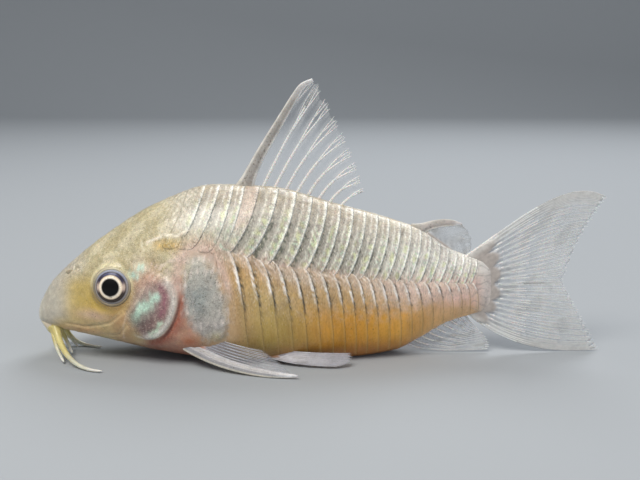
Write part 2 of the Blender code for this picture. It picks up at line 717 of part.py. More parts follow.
def head():
    """The head with its lips, eye rims, nostrils and gill covers."""
    core = body_core("head", 0.0, 28.0)
    cut_by_plane(core, GILL_CUT_X - GAP / 2, GILL_CUT_Z, GILL_CUT_LEAN, keep_front=True)
    pieces = [lip("upper_lip", UPPER_LIP), lip("lower_lip", LOWER_LIP)]
    pits = []
    for side in (LEFT, RIGHT):
        pieces.append(ring_on_skin("eye_rim", EYE_X, EYE_Z, EYE_RADIUS + 0.2, ORBIT_RIM, side, 18))
        rim = NOSTRIL_RADIUS + 0.6 * NOSTRIL_RIM
        pieces.append(ring_on_skin("nostril_rim", NOSTRIL_X, NOSTRIL_Z, rim, NOSTRIL_RIM, side, 8))
        pieces.append(nostril_flap(side))
        pieces.append(shield_plate("gill_cover", GILL_COVER, side))
        here, outward = surface_frame(NOSTRIL_X, NOSTRIL_Z, side)
        pits.append(ellipsoid("nostril", here, outward, NOSTRIL_RADIUS, 0.6, around=8, down=4))
        pits.append(eye(side, GAP))
    combine(core, pieces, "UNION")
    return combine(core, pits, "DIFFERENCE")


def plated_body(name):
    """The body behind the head, with all of its plates."""
    core = body_core(name, 12.0, STATIONS[-1].x)
    pieces = scutes() + back_plates()
    pieces += [shield_plate("shoulder", SHOULDER, side) for side in (LEFT, RIGHT)]
    return combine(core, pieces, "UNION", solver="MANIFOLD")


def trunk_and_tail_stem():
    """The plated body, cut behind the gill openings and again in front of the tail stem."""
    trunk = plated_body("trunk")
    tail = trunk.copy()
    tail.data = trunk.data.copy()
    tail.name = "tail_stem"
    bpy.context.scene.collection.objects.link(tail)
    margin = 15.0
    behind = slab_between("behind", (TAIL_CUT_X - GAP / 2, -margin, -margin), (90.0, margin, 40.0))
    ahead = slab_between("ahead", (-margin, -margin, -margin), (TAIL_CUT_X + GAP / 2, margin, 40.0))
    combine(trunk, [behind], "DIFFERENCE", solver="MANIFOLD")
    combine(tail, [ahead], "DIFFERENCE", solver="MANIFOLD")
    cut_by_plane(trunk, GILL_CUT_X + GAP / 2, GILL_CUT_Z, GILL_CUT_LEAN, keep_front=False)
    return with_origin(trunk, (34.0, 0.0, 0.0)), with_origin(tail, (TAIL_CUT_X, 0.0, 9.0))


def with_origin(obj, point):
    """Moves an object's origin to a point of the fish, and leaves its shape where it is."""
    shift = place(point)
    obj.data.transform(Matrix.Translation(-Vector(shift)))
    obj.location = shift
    return obj


def main():
    for obj in list(bpy.data.objects):
        bpy.data.objects.remove(obj)
    plates = finish("scutes", (0.52, 0.47, 0.33), 0.45, 0.15)
    skin = finish("head skin", (0.56, 0.47, 0.27), 0.4)
    fin_skin = finish("fin skin", (0.72, 0.71, 0.68), 0.4)
    feeler = finish("feeler skin", (0.74, 0.66, 0.38), 0.4)
    wet_eye = finish("eye", (0.02, 0.02, 0.025), 0.1)
    nodes = [finished(with_origin(head(), (15.0, 0.0, 8.0)), skin)]
    nodes += [finished(piece, plates) for piece in trunk_and_tail_stem()]
    for side in (LEFT, RIGHT):
        nodes.append(finished(eye(side), wet_eye, crease=60.0))
        nodes.append(finished(pectoral_fin(side), fin_skin))
        nodes.append(finished(pelvic_fin(side), fin_skin))
    for fin in (dorsal_fin(), adipose_fin(), anal_fin(), upper_lobe(), lower_lobe()):
        nodes.append(finished(fin, fin_skin))
    for feel in barbels():
        nodes.append(finished(feel, feeler, crease=60.0))
    fish = bpy.data.objects.new("corydoras_catfish", None)
    bpy.context.scene.collection.objects.link(fish)
    for node in nodes:
        node.parent = fish


main()
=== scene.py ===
"""The looks of a corydoras catfish, a still life-size model 75 mm long that rests on its belly and fins.

Shapes are worked out in millimetres, with x counted from the tip of the snout and z from the floor,
and put() turns them into the model's frame in metres. The fish faces -X, and its left side is -Y.
"""

import logging
import math
from collections.abc import Sequence
from dataclasses import dataclass, field, replace
from enum import Enum

import bmesh
import bpy
import numpy as np
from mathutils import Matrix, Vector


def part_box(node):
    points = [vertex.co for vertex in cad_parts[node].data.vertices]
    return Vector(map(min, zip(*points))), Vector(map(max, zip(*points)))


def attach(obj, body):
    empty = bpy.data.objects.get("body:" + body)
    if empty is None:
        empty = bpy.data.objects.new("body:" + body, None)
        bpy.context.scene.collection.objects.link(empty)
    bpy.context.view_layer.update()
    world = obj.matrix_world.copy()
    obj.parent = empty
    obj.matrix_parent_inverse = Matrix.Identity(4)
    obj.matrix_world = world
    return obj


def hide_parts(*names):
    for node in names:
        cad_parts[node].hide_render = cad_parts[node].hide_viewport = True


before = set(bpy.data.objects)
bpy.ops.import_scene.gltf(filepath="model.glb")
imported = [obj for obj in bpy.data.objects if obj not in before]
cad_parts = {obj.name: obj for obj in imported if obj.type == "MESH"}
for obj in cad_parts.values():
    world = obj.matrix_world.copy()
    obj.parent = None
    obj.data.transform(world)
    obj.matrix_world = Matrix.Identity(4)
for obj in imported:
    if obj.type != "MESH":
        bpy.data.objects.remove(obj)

LOG = logging.getLogger("corydoras")
Array = np.ndarray
Line = tuple[tuple[float, float], ...]  # for the most part x and z along a line on the flank
Point = tuple[float, float, float]
Arc = tuple[Point, ...]
Faces = list[tuple[int, ...]]
Piece, Material = bpy.types.Object, bpy.types.Material
Tree, Socket = bpy.types.NodeTree, bpy.types.NodeSocket

MM = 0.001
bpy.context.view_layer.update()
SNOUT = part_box("head")[0].x
ROOT_BODY = "root"
BAKE_MAP = "OFBake"
UNWRAP_LENGTH = 80.0  # millimetres of fish along the bake map
# A mix node's sockets for colours, and its two ways of mixing them.
UNDER, OVER, MIXED = 6, 7, 2
LAY = {"data_type": "RGBA", "blend_type": "MIX"}
SHADE = {"data_type": "RGBA", "blend_type": "MULTIPLY"}


class Side(Enum):
    """The two sides of the fish, as the sign of y."""

    LEFT = -1
    RIGHT = 1

    @property
    def word(self) -> str:
        """The side as it stands in the nodes' names."""
        return self.name.lower()


def put(points: Array) -> Array:
    """Turns millimetres from the snout and the floor into the model's frame.

    Args:
        points: Positions with x, y and z in the last axis.

    Returns:
        The same positions in metres.
    """
    return np.asarray(points, float) * MM + (SNOUT, 0.0, 0.0)


def linear(hex_colour: str) -> Array:
    """Turns an sRGB hex colour into linear red, green, blue and alpha.

    Args:
        hex_colour: A colour such as "#C8B48C".

    Returns:
        Four numbers, the last of them 1.
    """
    channels = np.array([int(hex_colour[i : i + 2], 16) / 255 for i in (1, 3, 5)])
    curved = ((channels + 0.055) / 1.055) ** 2.4
    return np.append(np.where(channels <= 0.04045, channels / 12.92, curved), 1.0)


def ramp(low: float, high: float, value: Array) -> Array:
    """A smooth step from 0 at low to 1 at high. With low above high it falls instead."""
    t = np.clip((np.asarray(value, float) - low) / (high - low), 0.0, 1.0)
    return t * t * (3 - 2 * t)


def bell(distance: Array, width: float) -> Array:
    """A smooth hump, 1 at distance 0 and nearly gone at twice the width."""
    return np.exp(-((np.asarray(distance, float) / width) ** 2))


def ripple(a: Array, b: Array, length: float, seed: int) -> Array:
    """Soft irregular waves between about -1 and 1.

    Args:
        a: One coordinate in millimetres.
        b: The other coordinate.
        length: The usual distance from crest to crest.
        seed: Which pattern.

    Returns:
        The height of the waves at each place.
    """
    draw = np.random.default_rng(seed)
    total = 0.0
    for _ in range(5):
        turn = draw.uniform(0, math.tau)
        pace = math.tau / length * draw.uniform(0.6, 1.5)
        total = total + np.sin(pace * (a * math.cos(turn) + b * math.sin(turn)) + draw.uniform(0, 6.3))
    return total / 2.6


def smooth_through(knots: Sequence[float], values: Array, at: Array) -> Array:
    """Reads a smooth curve through the knots that never overshoots them.

    Args:
        knots: Where the values are given, in rising order.
        values: The value at each knot.
        at: Where to read.

    Returns:
        The curve's value at each of those places.
    """
    knots, values = np.asarray(knots, float), np.asarray(values, float)
    at = np.clip(at, knots[0], knots[-1])
    widths = np.diff(knots)
    slopes = np.diff(values) / widths
    before, after = slopes[:-1], slopes[1:]
    mean = (before * widths[1:] + after * widths[:-1]) / (widths[:-1] + widths[1:])
    least = np.minimum(np.minimum(abs(before), abs(after)), 0.5 * abs(mean))
    tangents = np.concatenate([slopes[:1], (np.sign(before) + np.sign(after)) * least, slopes[-1:]])
    i = np.clip(np.searchsorted(knots, at) - 1, 0, len(widths) - 1)
    t = (at - knots[i]) / widths[i]
    return (
        (1 + 2 * t) * (1 - t) ** 2 * values[i]
        + t * (1 - t) ** 2 * widths[i] * tangents[i]
        + t**2 * (3 - 2 * t) * values[i + 1]
        - t**2 * (1 - t) * widths[i] * tangents[i + 1]
    )


def bend(controls: Sequence[Array], t: Array) -> Array:
    """A point on the smooth curve from the first control to the last that the others bend.

    Args:
        controls: Points, or arrays of points of one shape.
        t: How far along, from 0 to 1, of the same shape without the last axis.

    Returns:
        The points.
    """
    points = [np.asarray(c, float) for c in controls]
    t = np.asarray(t, float)[..., None]
    while len(points) > 1:
        points = [a + t * (b - a) for a, b in zip(points, points[1:])]
    return points[0]


def unit(vectors: Array) -> Array:
    """Vectors of length 1 in the same directions."""
    return vectors / (np.linalg.norm(vectors, axis=-1, keepdims=True) + 1e-12)


def turns(count: int) -> Array:
    """So many even steps of a full turn."""
    return np.linspace(0, math.tau, count, endpoint=False)


def stroke(x: Array, z: Array, line: Line) -> Array:
    """The distance from places on the flank to a line of straight stretches.

    Args:
        x: Places from the snout, in millimetres.
        z: Their heights.
        line: The line.

    Returns:
        The distances in millimetres.
    """
    here = np.stack([x, z], axis=-1)
    nearest = np.full(np.shape(x), np.inf)
    for start, end in zip(line, line[1:]):
        a, b = np.array(start), np.array(end)
        t = np.clip(((here - a) @ (b - a)) / ((b - a) @ (b - a)), 0, 1)
        nearest = np.minimum(nearest, np.linalg.norm(here - a - t[..., None] * (b - a), axis=-1))
    return nearest


@dataclass
class Paint:
    """Colours laid one over the other on a piece's vertices."""

    colour: Array

    @classmethod
    def ground(cls, count: tuple[int, ...], hex_colour: str) -> "Paint":
        """A single colour on so many vertices."""
        return cls(np.broadcast_to(linear(hex_colour), (*count, 4)).copy())

    def lay(self, hex_colour: str, mask: Array, amount: float = 1.0) -> None:
        """Lays a colour where mask is above 0, as opaque as mask times amount."""
        share = np.clip(mask * amount, 0.0, 1.0)[..., None]
        self.colour += (linear(hex_colour) - self.colour) * share


def make_piece(
    name: str,
    points: Array,
    faces: Faces,
    paint: Array | None = None,
    marks: dict[str, Array] | None = None,
    unwrap: Array | None = None,
) -> Piece:
    """Makes a smooth-shaded object in the model's frame, with its faces pointing out.

    Args:
        name: The piece's name.
        points: Vertices in millimetres, as a list or a grid.
        faces: Their faces.
        paint: A linear colour for each vertex, which the finish reads.
        marks: Other numbers for each vertex, by name.
        unwrap: A place on the bake map for each vertex.

    Returns:
        The object, at the origin with its place in its mesh.
    """
    mesh = bpy.data.meshes.new(name)
    mesh.from_pydata(put(points).reshape(-1, 3).tolist(), [], faces)
    work = bmesh.new()
    work.from_mesh(mesh)
    bmesh.ops.recalc_face_normals(work, faces=work.faces)
    work.to_mesh(mesh)
    work.free()
    if paint is not None:
        layer = mesh.color_attributes.new(name="paint", type="FLOAT_COLOR", domain="POINT")
        layer.data.foreach_set("color", np.ascontiguousarray(paint, np.float32).ravel())
    for key, values in (marks or {}).items():
        layer = mesh.attributes.new(name=key, type="FLOAT", domain="POINT")
        layer.data.foreach_set("value", np.ascontiguousarray(values, np.float32).ravel())
    if unwrap is not None:
        corner = np.zeros(len(mesh.loops), np.int32)
        mesh.loops.foreach_get("vertex_index", corner)
        layer = mesh.uv_layers.new(name=BAKE_MAP)
        corners = unwrap.reshape(-1, 2)[corner]
        layer.data.foreach_set("uv", np.ascontiguousarray(corners, np.float32).ravel())
    mesh.shade_smooth()
    piece = bpy.data.objects.new(name, mesh)
    bpy.context.scene.collection.objects.link(piece)
    return piece


def ring_faces(rings: int, around: int, start: int = 0, closed: bool = False) -> Faces:
    """The faces of a tube through rings of as many points each.

    Args:
        rings: How many rings.
        around: How many points a ring has.
        start: The number of the first point.
        closed: Whether the last ring joins the first, instead of a flat cap at either end.

    Returns:
        The faces.
    """
    faces: Faces = []
    for row in range(rings if closed else rings - 1):
        a, b = start + row * around, start + (row + 1) % rings * around
        for j in range(around):
            k = (j + 1) % around
            faces.append((a + j, a + k, b + k, b + j))
    if not closed:
        last = start + (rings - 1) * around
        faces.append(tuple(range(start, start + around)))
        faces.append(tuple(range(last + around - 1, last - 1, -1)))
    return faces


def loft(name: str, rings: Array, paint: Paint, closed: bool = False, **marks: Array | float) -> Piece:
    """Makes a piece through rings of points.

    Args:
        name: The piece's name.
        rings: The rings, in millimetres.
        paint: A colour for each point.
        closed: Whether the last ring joins the first.
        **marks: Other numbers that the finish reads, for each point or one for all.

    Returns:
        The piece.
    """
    shape = rings.shape[:2]
    spread = {key: np.broadcast_to(value, shape) for key, value in marks.items()}
    return make_piece(name, rings, ring_faces(*shape, closed=closed), paint.colour, spread)


def dress(piece: Piece, material: Material, stands_for: Sequence[str] = ()) -> None:
    """Gives a piece its finish, and tells the frame what it is.

    Args:
        piece: The finished object.
        material: Its finish.
        stands_for: The nodes that it replaces.
    """
    piece.data.materials.clear()
    piece.data.materials.append(material)
    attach(piece, ROOT_BODY)
    if stands_for:
        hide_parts(*stands_for)
    LOG.info("%s: %d faces", piece.name, len(piece.data.polygons))


def add(
    tree: Tree, kind: str, inputs: dict | tuple = (), out: int | str = 0, **settings: object
) -> Socket | None:
    """Adds a node with its settings, and sets or links its inputs.

    Args:
        tree: The node tree.
        kind: The node's type.
        inputs: Values, or sockets that feed the inputs, in order or by name or number.
        out: Which output to give back, by name or number.
        **settings: The node's own properties.

    Returns:
        That output, or None from a node that has none.
    """
    node = tree.nodes.new(kind)
    for key, value in settings.items():
        setattr(node, key, value)
    for socket, value in inputs.items() if isinstance(inputs, dict) else enumerate(inputs):
        if isinstance(value, Socket):
            tree.links.new(value, node.inputs[socket])
        else:
            node.inputs[socket].default_value = value
    return node.outputs[out] if node.outputs else None


def mottled_paint(tree: Tree, size_mm: float, darkest: float, lightest: float) -> Socket:
    """A piece's own paint, shaded by irregular clouds.

    Args:
        tree: The material's tree.
        size_mm: How large the clouds are.
        darkest: What the darkest cloud multiplies the paint by.
        lightest: What the lightest does.

    Returns:
        The colour.
    """
    place = add(tree, "ShaderNodeTexCoord", out="Object")
    paint = add(tree, "ShaderNodeAttribute", out="Color", attribute_name="paint")
    clouds = add(tree, "ShaderNodeTexNoise", {"Vector": place, "Scale": 1 / (size_mm * MM), "Detail": 3.0})
    shade = add(tree, "ShaderNodeMapRange", (clouds, 0.3, 0.7, darkest, lightest))
    return add(tree, "ShaderNodeMix", {0: 1.0, UNDER: paint, OVER: shade}, MIXED, **SHADE)


@dataclass(frozen=True)
class Station:
    """One section of the body: top and bottom heights, half the width and the height of the widest
    level, and how square the section is above and below it, where 2 is an ellipse."""

    x: float
    top: float
    bottom: float
    half_width: float
    widest_at: float
    above: float
    below: float


@dataclass(frozen=True)
class Torso:
    """The body's smooth surface, which every plate, fin and marking is set on."""

    stations: tuple[Station, ...] = (
        Station(0.0, 5.9, 4.7, 0.5, 5.2, 2.0, 2.0),
        Station(0.5, 7.6, 4.2, 1.6, 5.6, 2.0, 2.1),
        Station(1.9, 9.9, 3.8, 2.8, 6.2, 2.0, 2.3),
        Station(4.1, 12.1, 3.4, 3.9, 6.8, 2.0, 2.4),
        Station(9.4, 16.3, 2.4, 5.6, 7.3, 2.0, 2.5),
        Station(16.2, 20.4, 1.0, 7.1, 7.4, 2.0, 2.6),
        Station(23.8, 22.7, -0.1, 7.8, 7.5, 1.95, 2.7),
        Station(31.0, 22.4, -0.45, 7.2, 7.9, 1.9, 2.6),
        Station(39.0, 20.3, -0.4, 6.0, 8.3, 1.9, 2.5),
        Station(47.2, 18.0, 0.5, 4.4, 8.8, 1.9, 2.2),
        Station(50.7, 16.7, 2.2, 3.5, 9.1, 1.9, 2.0),
        Station(53.9, 14.5, 4.1, 2.6, 9.2, 2.0, 2.0),
        Station(56.5, 13.4, 5.0, 1.8, 9.2, 2.0, 2.0),
        Station(58.8, 12.8, 5.5, 0.95, 9.1, 2.0, 2.0),
        Station(60.2, 12.4, 5.9, 0.3, 9.0, 2.0, 2.0),
    )
    lateral_line: Line = (
        (20.0, 15.6),
        (26.7, 14.6),
        (30.4, 13.4),
        (35.0, 12.4),
        (40.0, 11.5),
        (46.0, 10.6),
        (60.4, 9.2),
    )

    @property
    def length(self) -> float:
        """The x of the last section."""
        return self.stations[-1].x

    def section(self, x: Array) -> Station:
        """The sections at x. The blunt snout needs the square root.

        Args:
            x: Places along the fish.

        Returns:
            A station whose values are arrays.
        """
        x = np.clip(x, 0.0, self.length)
        knots = np.sqrt([s.x for s in self.stations])
        columns = ("top", "bottom", "half_width", "widest_at", "above", "below")
        read = [smooth_through(knots, [getattr(s, c) for s in self.stations], np.sqrt(x)) for c in columns]
        return Station(x, *read)

    def point(self, x: Array, angle: Array) -> Array:
        """Points on the body.

        Args:
            x: Places from the snout.
            angle: Round the body: 0 is the back, pi the belly, and a positive one the right side.

        Returns:
            The points.
        """
        x, angle = np.broadcast_arrays(np.asarray(x, float), np.asarray(angle, float))
        s = self.section(x)
        rise, aside = np.cos(angle), np.sin(angle)
        square = np.where(rise > 0, s.above, s.below)
        reach = np.where(rise > 0, s.top - s.widest_at, s.widest_at - s.bottom)
        y = s.half_width * np.sign(aside) * np.abs(aside) ** (2 / square)
        z = s.widest_at + np.sign(rise) * reach * np.abs(rise) ** (2 / square)
        return np.stack([x, y, z], axis=-1)

    def outward(self, x: Array, angle: Array) -> Array:
        """The direction that points straight out of the skin.

        Args:
            x: Places from the snout.
            angle: Round the body.

        Returns:
            Directions of length 1.
        """
        step, turn = 0.15, 0.03
        x = np.asarray(x)
        along = self.point(x + step, angle) - self.point(np.maximum(x - step, 0.0), angle)
        around = self.point(x, np.asarray(angle) + turn) - self.point(x, np.asarray(angle) - turn)
        normal = unit(np.cross(along, around))
        here = self.point(x, angle)
        middle = self.section(here[..., 0]).widest_at
        away = normal[..., 1] * here[..., 1] + normal[..., 2] * (here[..., 2] - middle)
        return normal * np.where(away < 0, -1.0, 1.0)[..., None]

    def lifted(self, x: Array, angle: Array, lift: Array) -> Array:
        """Points at a height above the skin, but never below the floor.

        Args:
            x: Places from the snout.
            angle: Round the body.
            lift: The height.

        Returns:
            The points.
        """
        points = self.point(x, angle) + self.outward(x, angle) * np.asarray(lift, float)[..., None]
        points[..., 2] = np.maximum(points[..., 2], 0.0)
        return points

    def angle_at(self, x: Array, z: Array) -> Array:
        """The angle of the skin at a height, on the right side.

        Args:
            x: Places from the snout.
            z: The heights.

        Returns:
            The angles.
        """
        s = self.section(x)
        up = np.clip((z - s.widest_at) / (s.top - s.widest_at), 0.0, 1.0)
        down = np.clip((s.widest_at - z) / (s.widest_at - s.bottom), 0.0, 1.0)
        upper = np.arccos(up ** (s.above / 2))
        lower = math.pi - np.arccos(down ** (s.below / 2))
        return np.where(z >= s.widest_at, upper, lower)

    def line_height(self, x: Array) -> Array:
        """The height of the lateral line."""
        knots, heights = np.array(self.lateral_line).T
        return smooth_through(knots, heights, x)


TORSO = Torso()


@dataclass(frozen=True)
class Oval:
    """A large oval plate of the head or shoulder, seen from the side."""

    x: float
    z: float
    half_long: float
    half_wide: float
    slope: float  # of the long axis, in degrees

    def turned(self, x: Array, z: Array) -> tuple[Array, Array]:
        """Places seen along the oval's axes.

        Args:
            x: Places from the snout.
            z: Their heights.

        Returns:
            Along the long axis and across it, backwards, as shares of the oval's size.
        """
        slope = math.radians(self.slope)
        along = (x - self.x) * math.cos(slope) + (z - self.z) * math.sin(slope)
        across = (x - self.x) * math.sin(slope) - (z - self.z) * math.cos(slope)
        return along / self.half_long, across / self.half_wide

    def inside(self, x: Array, z: Array) -> Array:
        """How far inside the outline a place lies.

        Args:
            x: Places from the snout.
            z: Their heights.

        Returns:
            About that many millimetres, and less than 0 outside.
        """
        along, across = self.turned(x, z)
        power = 2.3
        reach = (np.abs(along) ** power + np.abs(across) ** power) ** (1 / power)
        return (1 - reach) * self.half_wide


@dataclass(frozen=True)
class Places:
    """Places on the fish, which tell how near they are to spots and lines of the flank."""

    x: Array
    y: Array
    z: Array

    @classmethod
    def of(cls, points: Array) -> "Places":
        """The places of those points."""
        return cls(points[..., 0], points[..., 1], points[..., 2])

    def spot(
        self, x: float, z: float, size: float, wide: float = 1.0, tall: float = 1.0, lean: float = 0.0,
        stir: Array | float = 0.0,
    ) -> Array:
        """A soft oval spot.

        Args:
            x: Its middle, from the snout.
            z: Its middle's height.
            size: Its radius in millimetres. At twice that, it is nearly gone.
            wide: How many times as long it is.
            tall: How many times as high it is.
            lean: How far it drops for each millimetre towards the tail.
            stir: What pushes its outline in and out, in millimetres.

        Returns:
            1 in its middle, down to 0.
        """
        aside = self.x - x
        return bell(np.hypot(aside / wide, (self.z - z + lean * aside) / tall) + stir, size)

    def streak(self, line: Line, width: float, stir: Array | float = 0.0) -> Array:
        """A soft line, 1 in its middle and nearly gone at twice the width."""
        return bell(stroke(self.x, self.z, line) + stir, width)


@dataclass(frozen=True)
class HeadPlan:
    """Where things are on the head, for its shape, its markings and its eyes."""

    eye_x: float = 10.88
    eye_z: float = 10.42
    eye_radius: float = 2.62
    eye_half_depth: float = 1.7
    eye_sunk: float = 0.72
    eye_opening: float = 2.28
    eye_rim: float = 0.13
    nostril_x: float = 5.9
    nostril_z: float = 12.1
    flap_x: float = 4.9
    flap_z: float = 11.6
    gill_cover: Oval = Oval(15.9, 8.0, 4.5, 3.2, 68.0)
    shoulder: Oval = Oval(22.9, 9.0, 5.6, 2.8, 101.0)
    # Ridges of the skull's plates, as lines on the flank.
    crown_seam: Line = ((15.4, 15.9), (17.6, 16.9), (19.4, 16.9), (20.9, 17.7))
    temple_seam: Line = ((17.3, 13.2), (18.6, 13.9), (19.8, 14.0), (20.6, 15.2))
    cheek_seam: Line = ((4.4, 5.0), (7.2, 4.8), (10.4, 5.6), (12.6, 7.4))
    jaw_seam: Line = ((9.5, 3.6), (11.6, 4.0), (12.6, 5.4))
    pore_row: Line = ((12.9, 12.2), (15.2, 12.9), (16.9, 12.4))

    def from_eye(self, x: Array, z: Array) -> Array:
        """The distance from the middle of the eye, seen from the side."""
        return np.hypot(x - self.eye_x, z - self.eye_z)

    def relief(self, x: Array, z: Array) -> Array:
        """How far the skin stands out of the smooth body.

        Args:
            x: Places from the snout.
            z: Their heights.

        Returns:
            The relief in millimetres.
        """
        at = Places(x, np.zeros_like(x), z)
        eye = self.from_eye(x, z) - self.eye_opening
        lift = 0.12 * ramp(0.0, 2.0, z - self.eye_z) * bell(eye - 1.3, 0.5)
        lift = lift - 0.08 * bell(eye - 0.8, 0.25)
        nostril = np.hypot(x - self.nostril_x, z - self.nostril_z)
        lift = lift - 0.4 * ramp(0.42, 0.2, nostril) + 0.14 * bell(nostril - 0.52, 0.13)
        lift = lift - 0.16 * at.spot(5.6, 8.6, 1.6, wide=1.5)
        lift = lift + 0.14 * at.spot(9.0, 6.4, 1.1, wide=2.6)
        lift = lift - 0.12 * at.streak(self.cheek_seam, 0.2)
        lift = lift - 0.1 * at.streak(self.jaw_seam, 0.2)
        lift = lift + 0.1 * at.streak(self.crown_seam, 0.2)
        lift = lift - 0.08 * at.streak(self.crown_seam, 0.25, -0.5)
        lift = lift + 0.08 * at.streak(self.temple_seam, 0.18)
        lift = lift + self.plate_relief(self.gill_cover, x, z, 0.24, 2.3)
        slit = bell(self.gill_cover.inside(x, z) + 0.28, 0.22)
        lift = lift - 0.26 * slit * ramp(-0.1, 0.5, self.gill_cover.turned(x, z)[1])
        lift = lift + self.plate_relief(self.shoulder, x, z, 0.12, 1.0)
        lift = lift + 0.07 * at.streak(self.pore_row, 0.28) * (1 + ripple(x, z, 1.1, 5))
        return lift + 0.02 * ripple(x, z, 1.4, 7)

    def eye_frame(self, side: Side) -> tuple[Array, Array, Array, Array]:
        """Where an eyeball is and how it is turned. It looks nearly sideways.

        Args:
            side: The side it is on.

        Returns:
            Its middle, and the directions out of it, backwards and up.
        """
        angle = TORSO.angle_at(self.eye_x, self.eye_z) * side.value
        straight = TORSO.outward(self.eye_x, angle)
        axis = unit(0.4 * straight + 0.6 * np.array((0.0, side.value, 0.08)))
        centre = TORSO.point(self.eye_x, angle) - self.eye_sunk * straight
        back = unit(np.array((1.0, 0.0, 0.0)) - axis[0] * axis)
        up = np.cross(axis, back)
        return centre, axis, back, up * np.sign(up[2])

    def ball_height(self, reach: Array) -> Array:
        """How far out the eyeball's face is, at a distance from its axis."""
        return self.eye_half_depth * np.sqrt(np.clip(1 - (reach / self.eye_radius) ** 2, 0.0, 1.0))

    def socket(self, points: Array, side: Side) -> Array:
        """Draws the skin round an eye to the eyeball, and tucks it in behind the ball's face.

        Args:
            points: The skin's points.
            side: The eye's side.

        Returns:
            The points, moved.
        """
        centre, axis, back, up = self.eye_frame(side)
        away = points - centre
        reach = np.hypot(away @ back, away @ up)
        out = away @ axis
        rim = self.ball_height(self.eye_opening) + 0.02
        near = ramp(self.eye_opening + 1.1, self.eye_opening + 0.05, reach)
        target = rim - 0.5 * ramp(self.eye_opening + 0.06, self.eye_opening - 0.35, reach)
        move = np.where(out > -0.5, (target - out) * near, 0.0)
        return points + move[..., None] * axis

    @staticmethod
    def plate_relief(oval: Oval, x: Array, z: Array, height: float, front: float) -> Array:
        """A plate's rise, which is abrupt at its rear edge, with a thin raised rim there.

        Args:
            oval: The plate.
            x: Places from the snout.
            z: Their heights.
            height: How far the plate stands out.
            front: How wide the soft slope of its front is.

        Returns:
            The rise in millimetres.
        """
        inside = oval.inside(x, z)
        rear = ramp(-0.35, 0.35, oval.turned(x, z)[1])
        edge = front + (0.16 - front) * rear
        rise = np.clip((inside + 0.02) / edge, 0.0, 1.0)
        rim = bell(inside - 0.32, 0.2) * rear
        return height * rise * rise * (3 - 2 * rise) + 0.06 * rim


HEAD = HeadPlan()


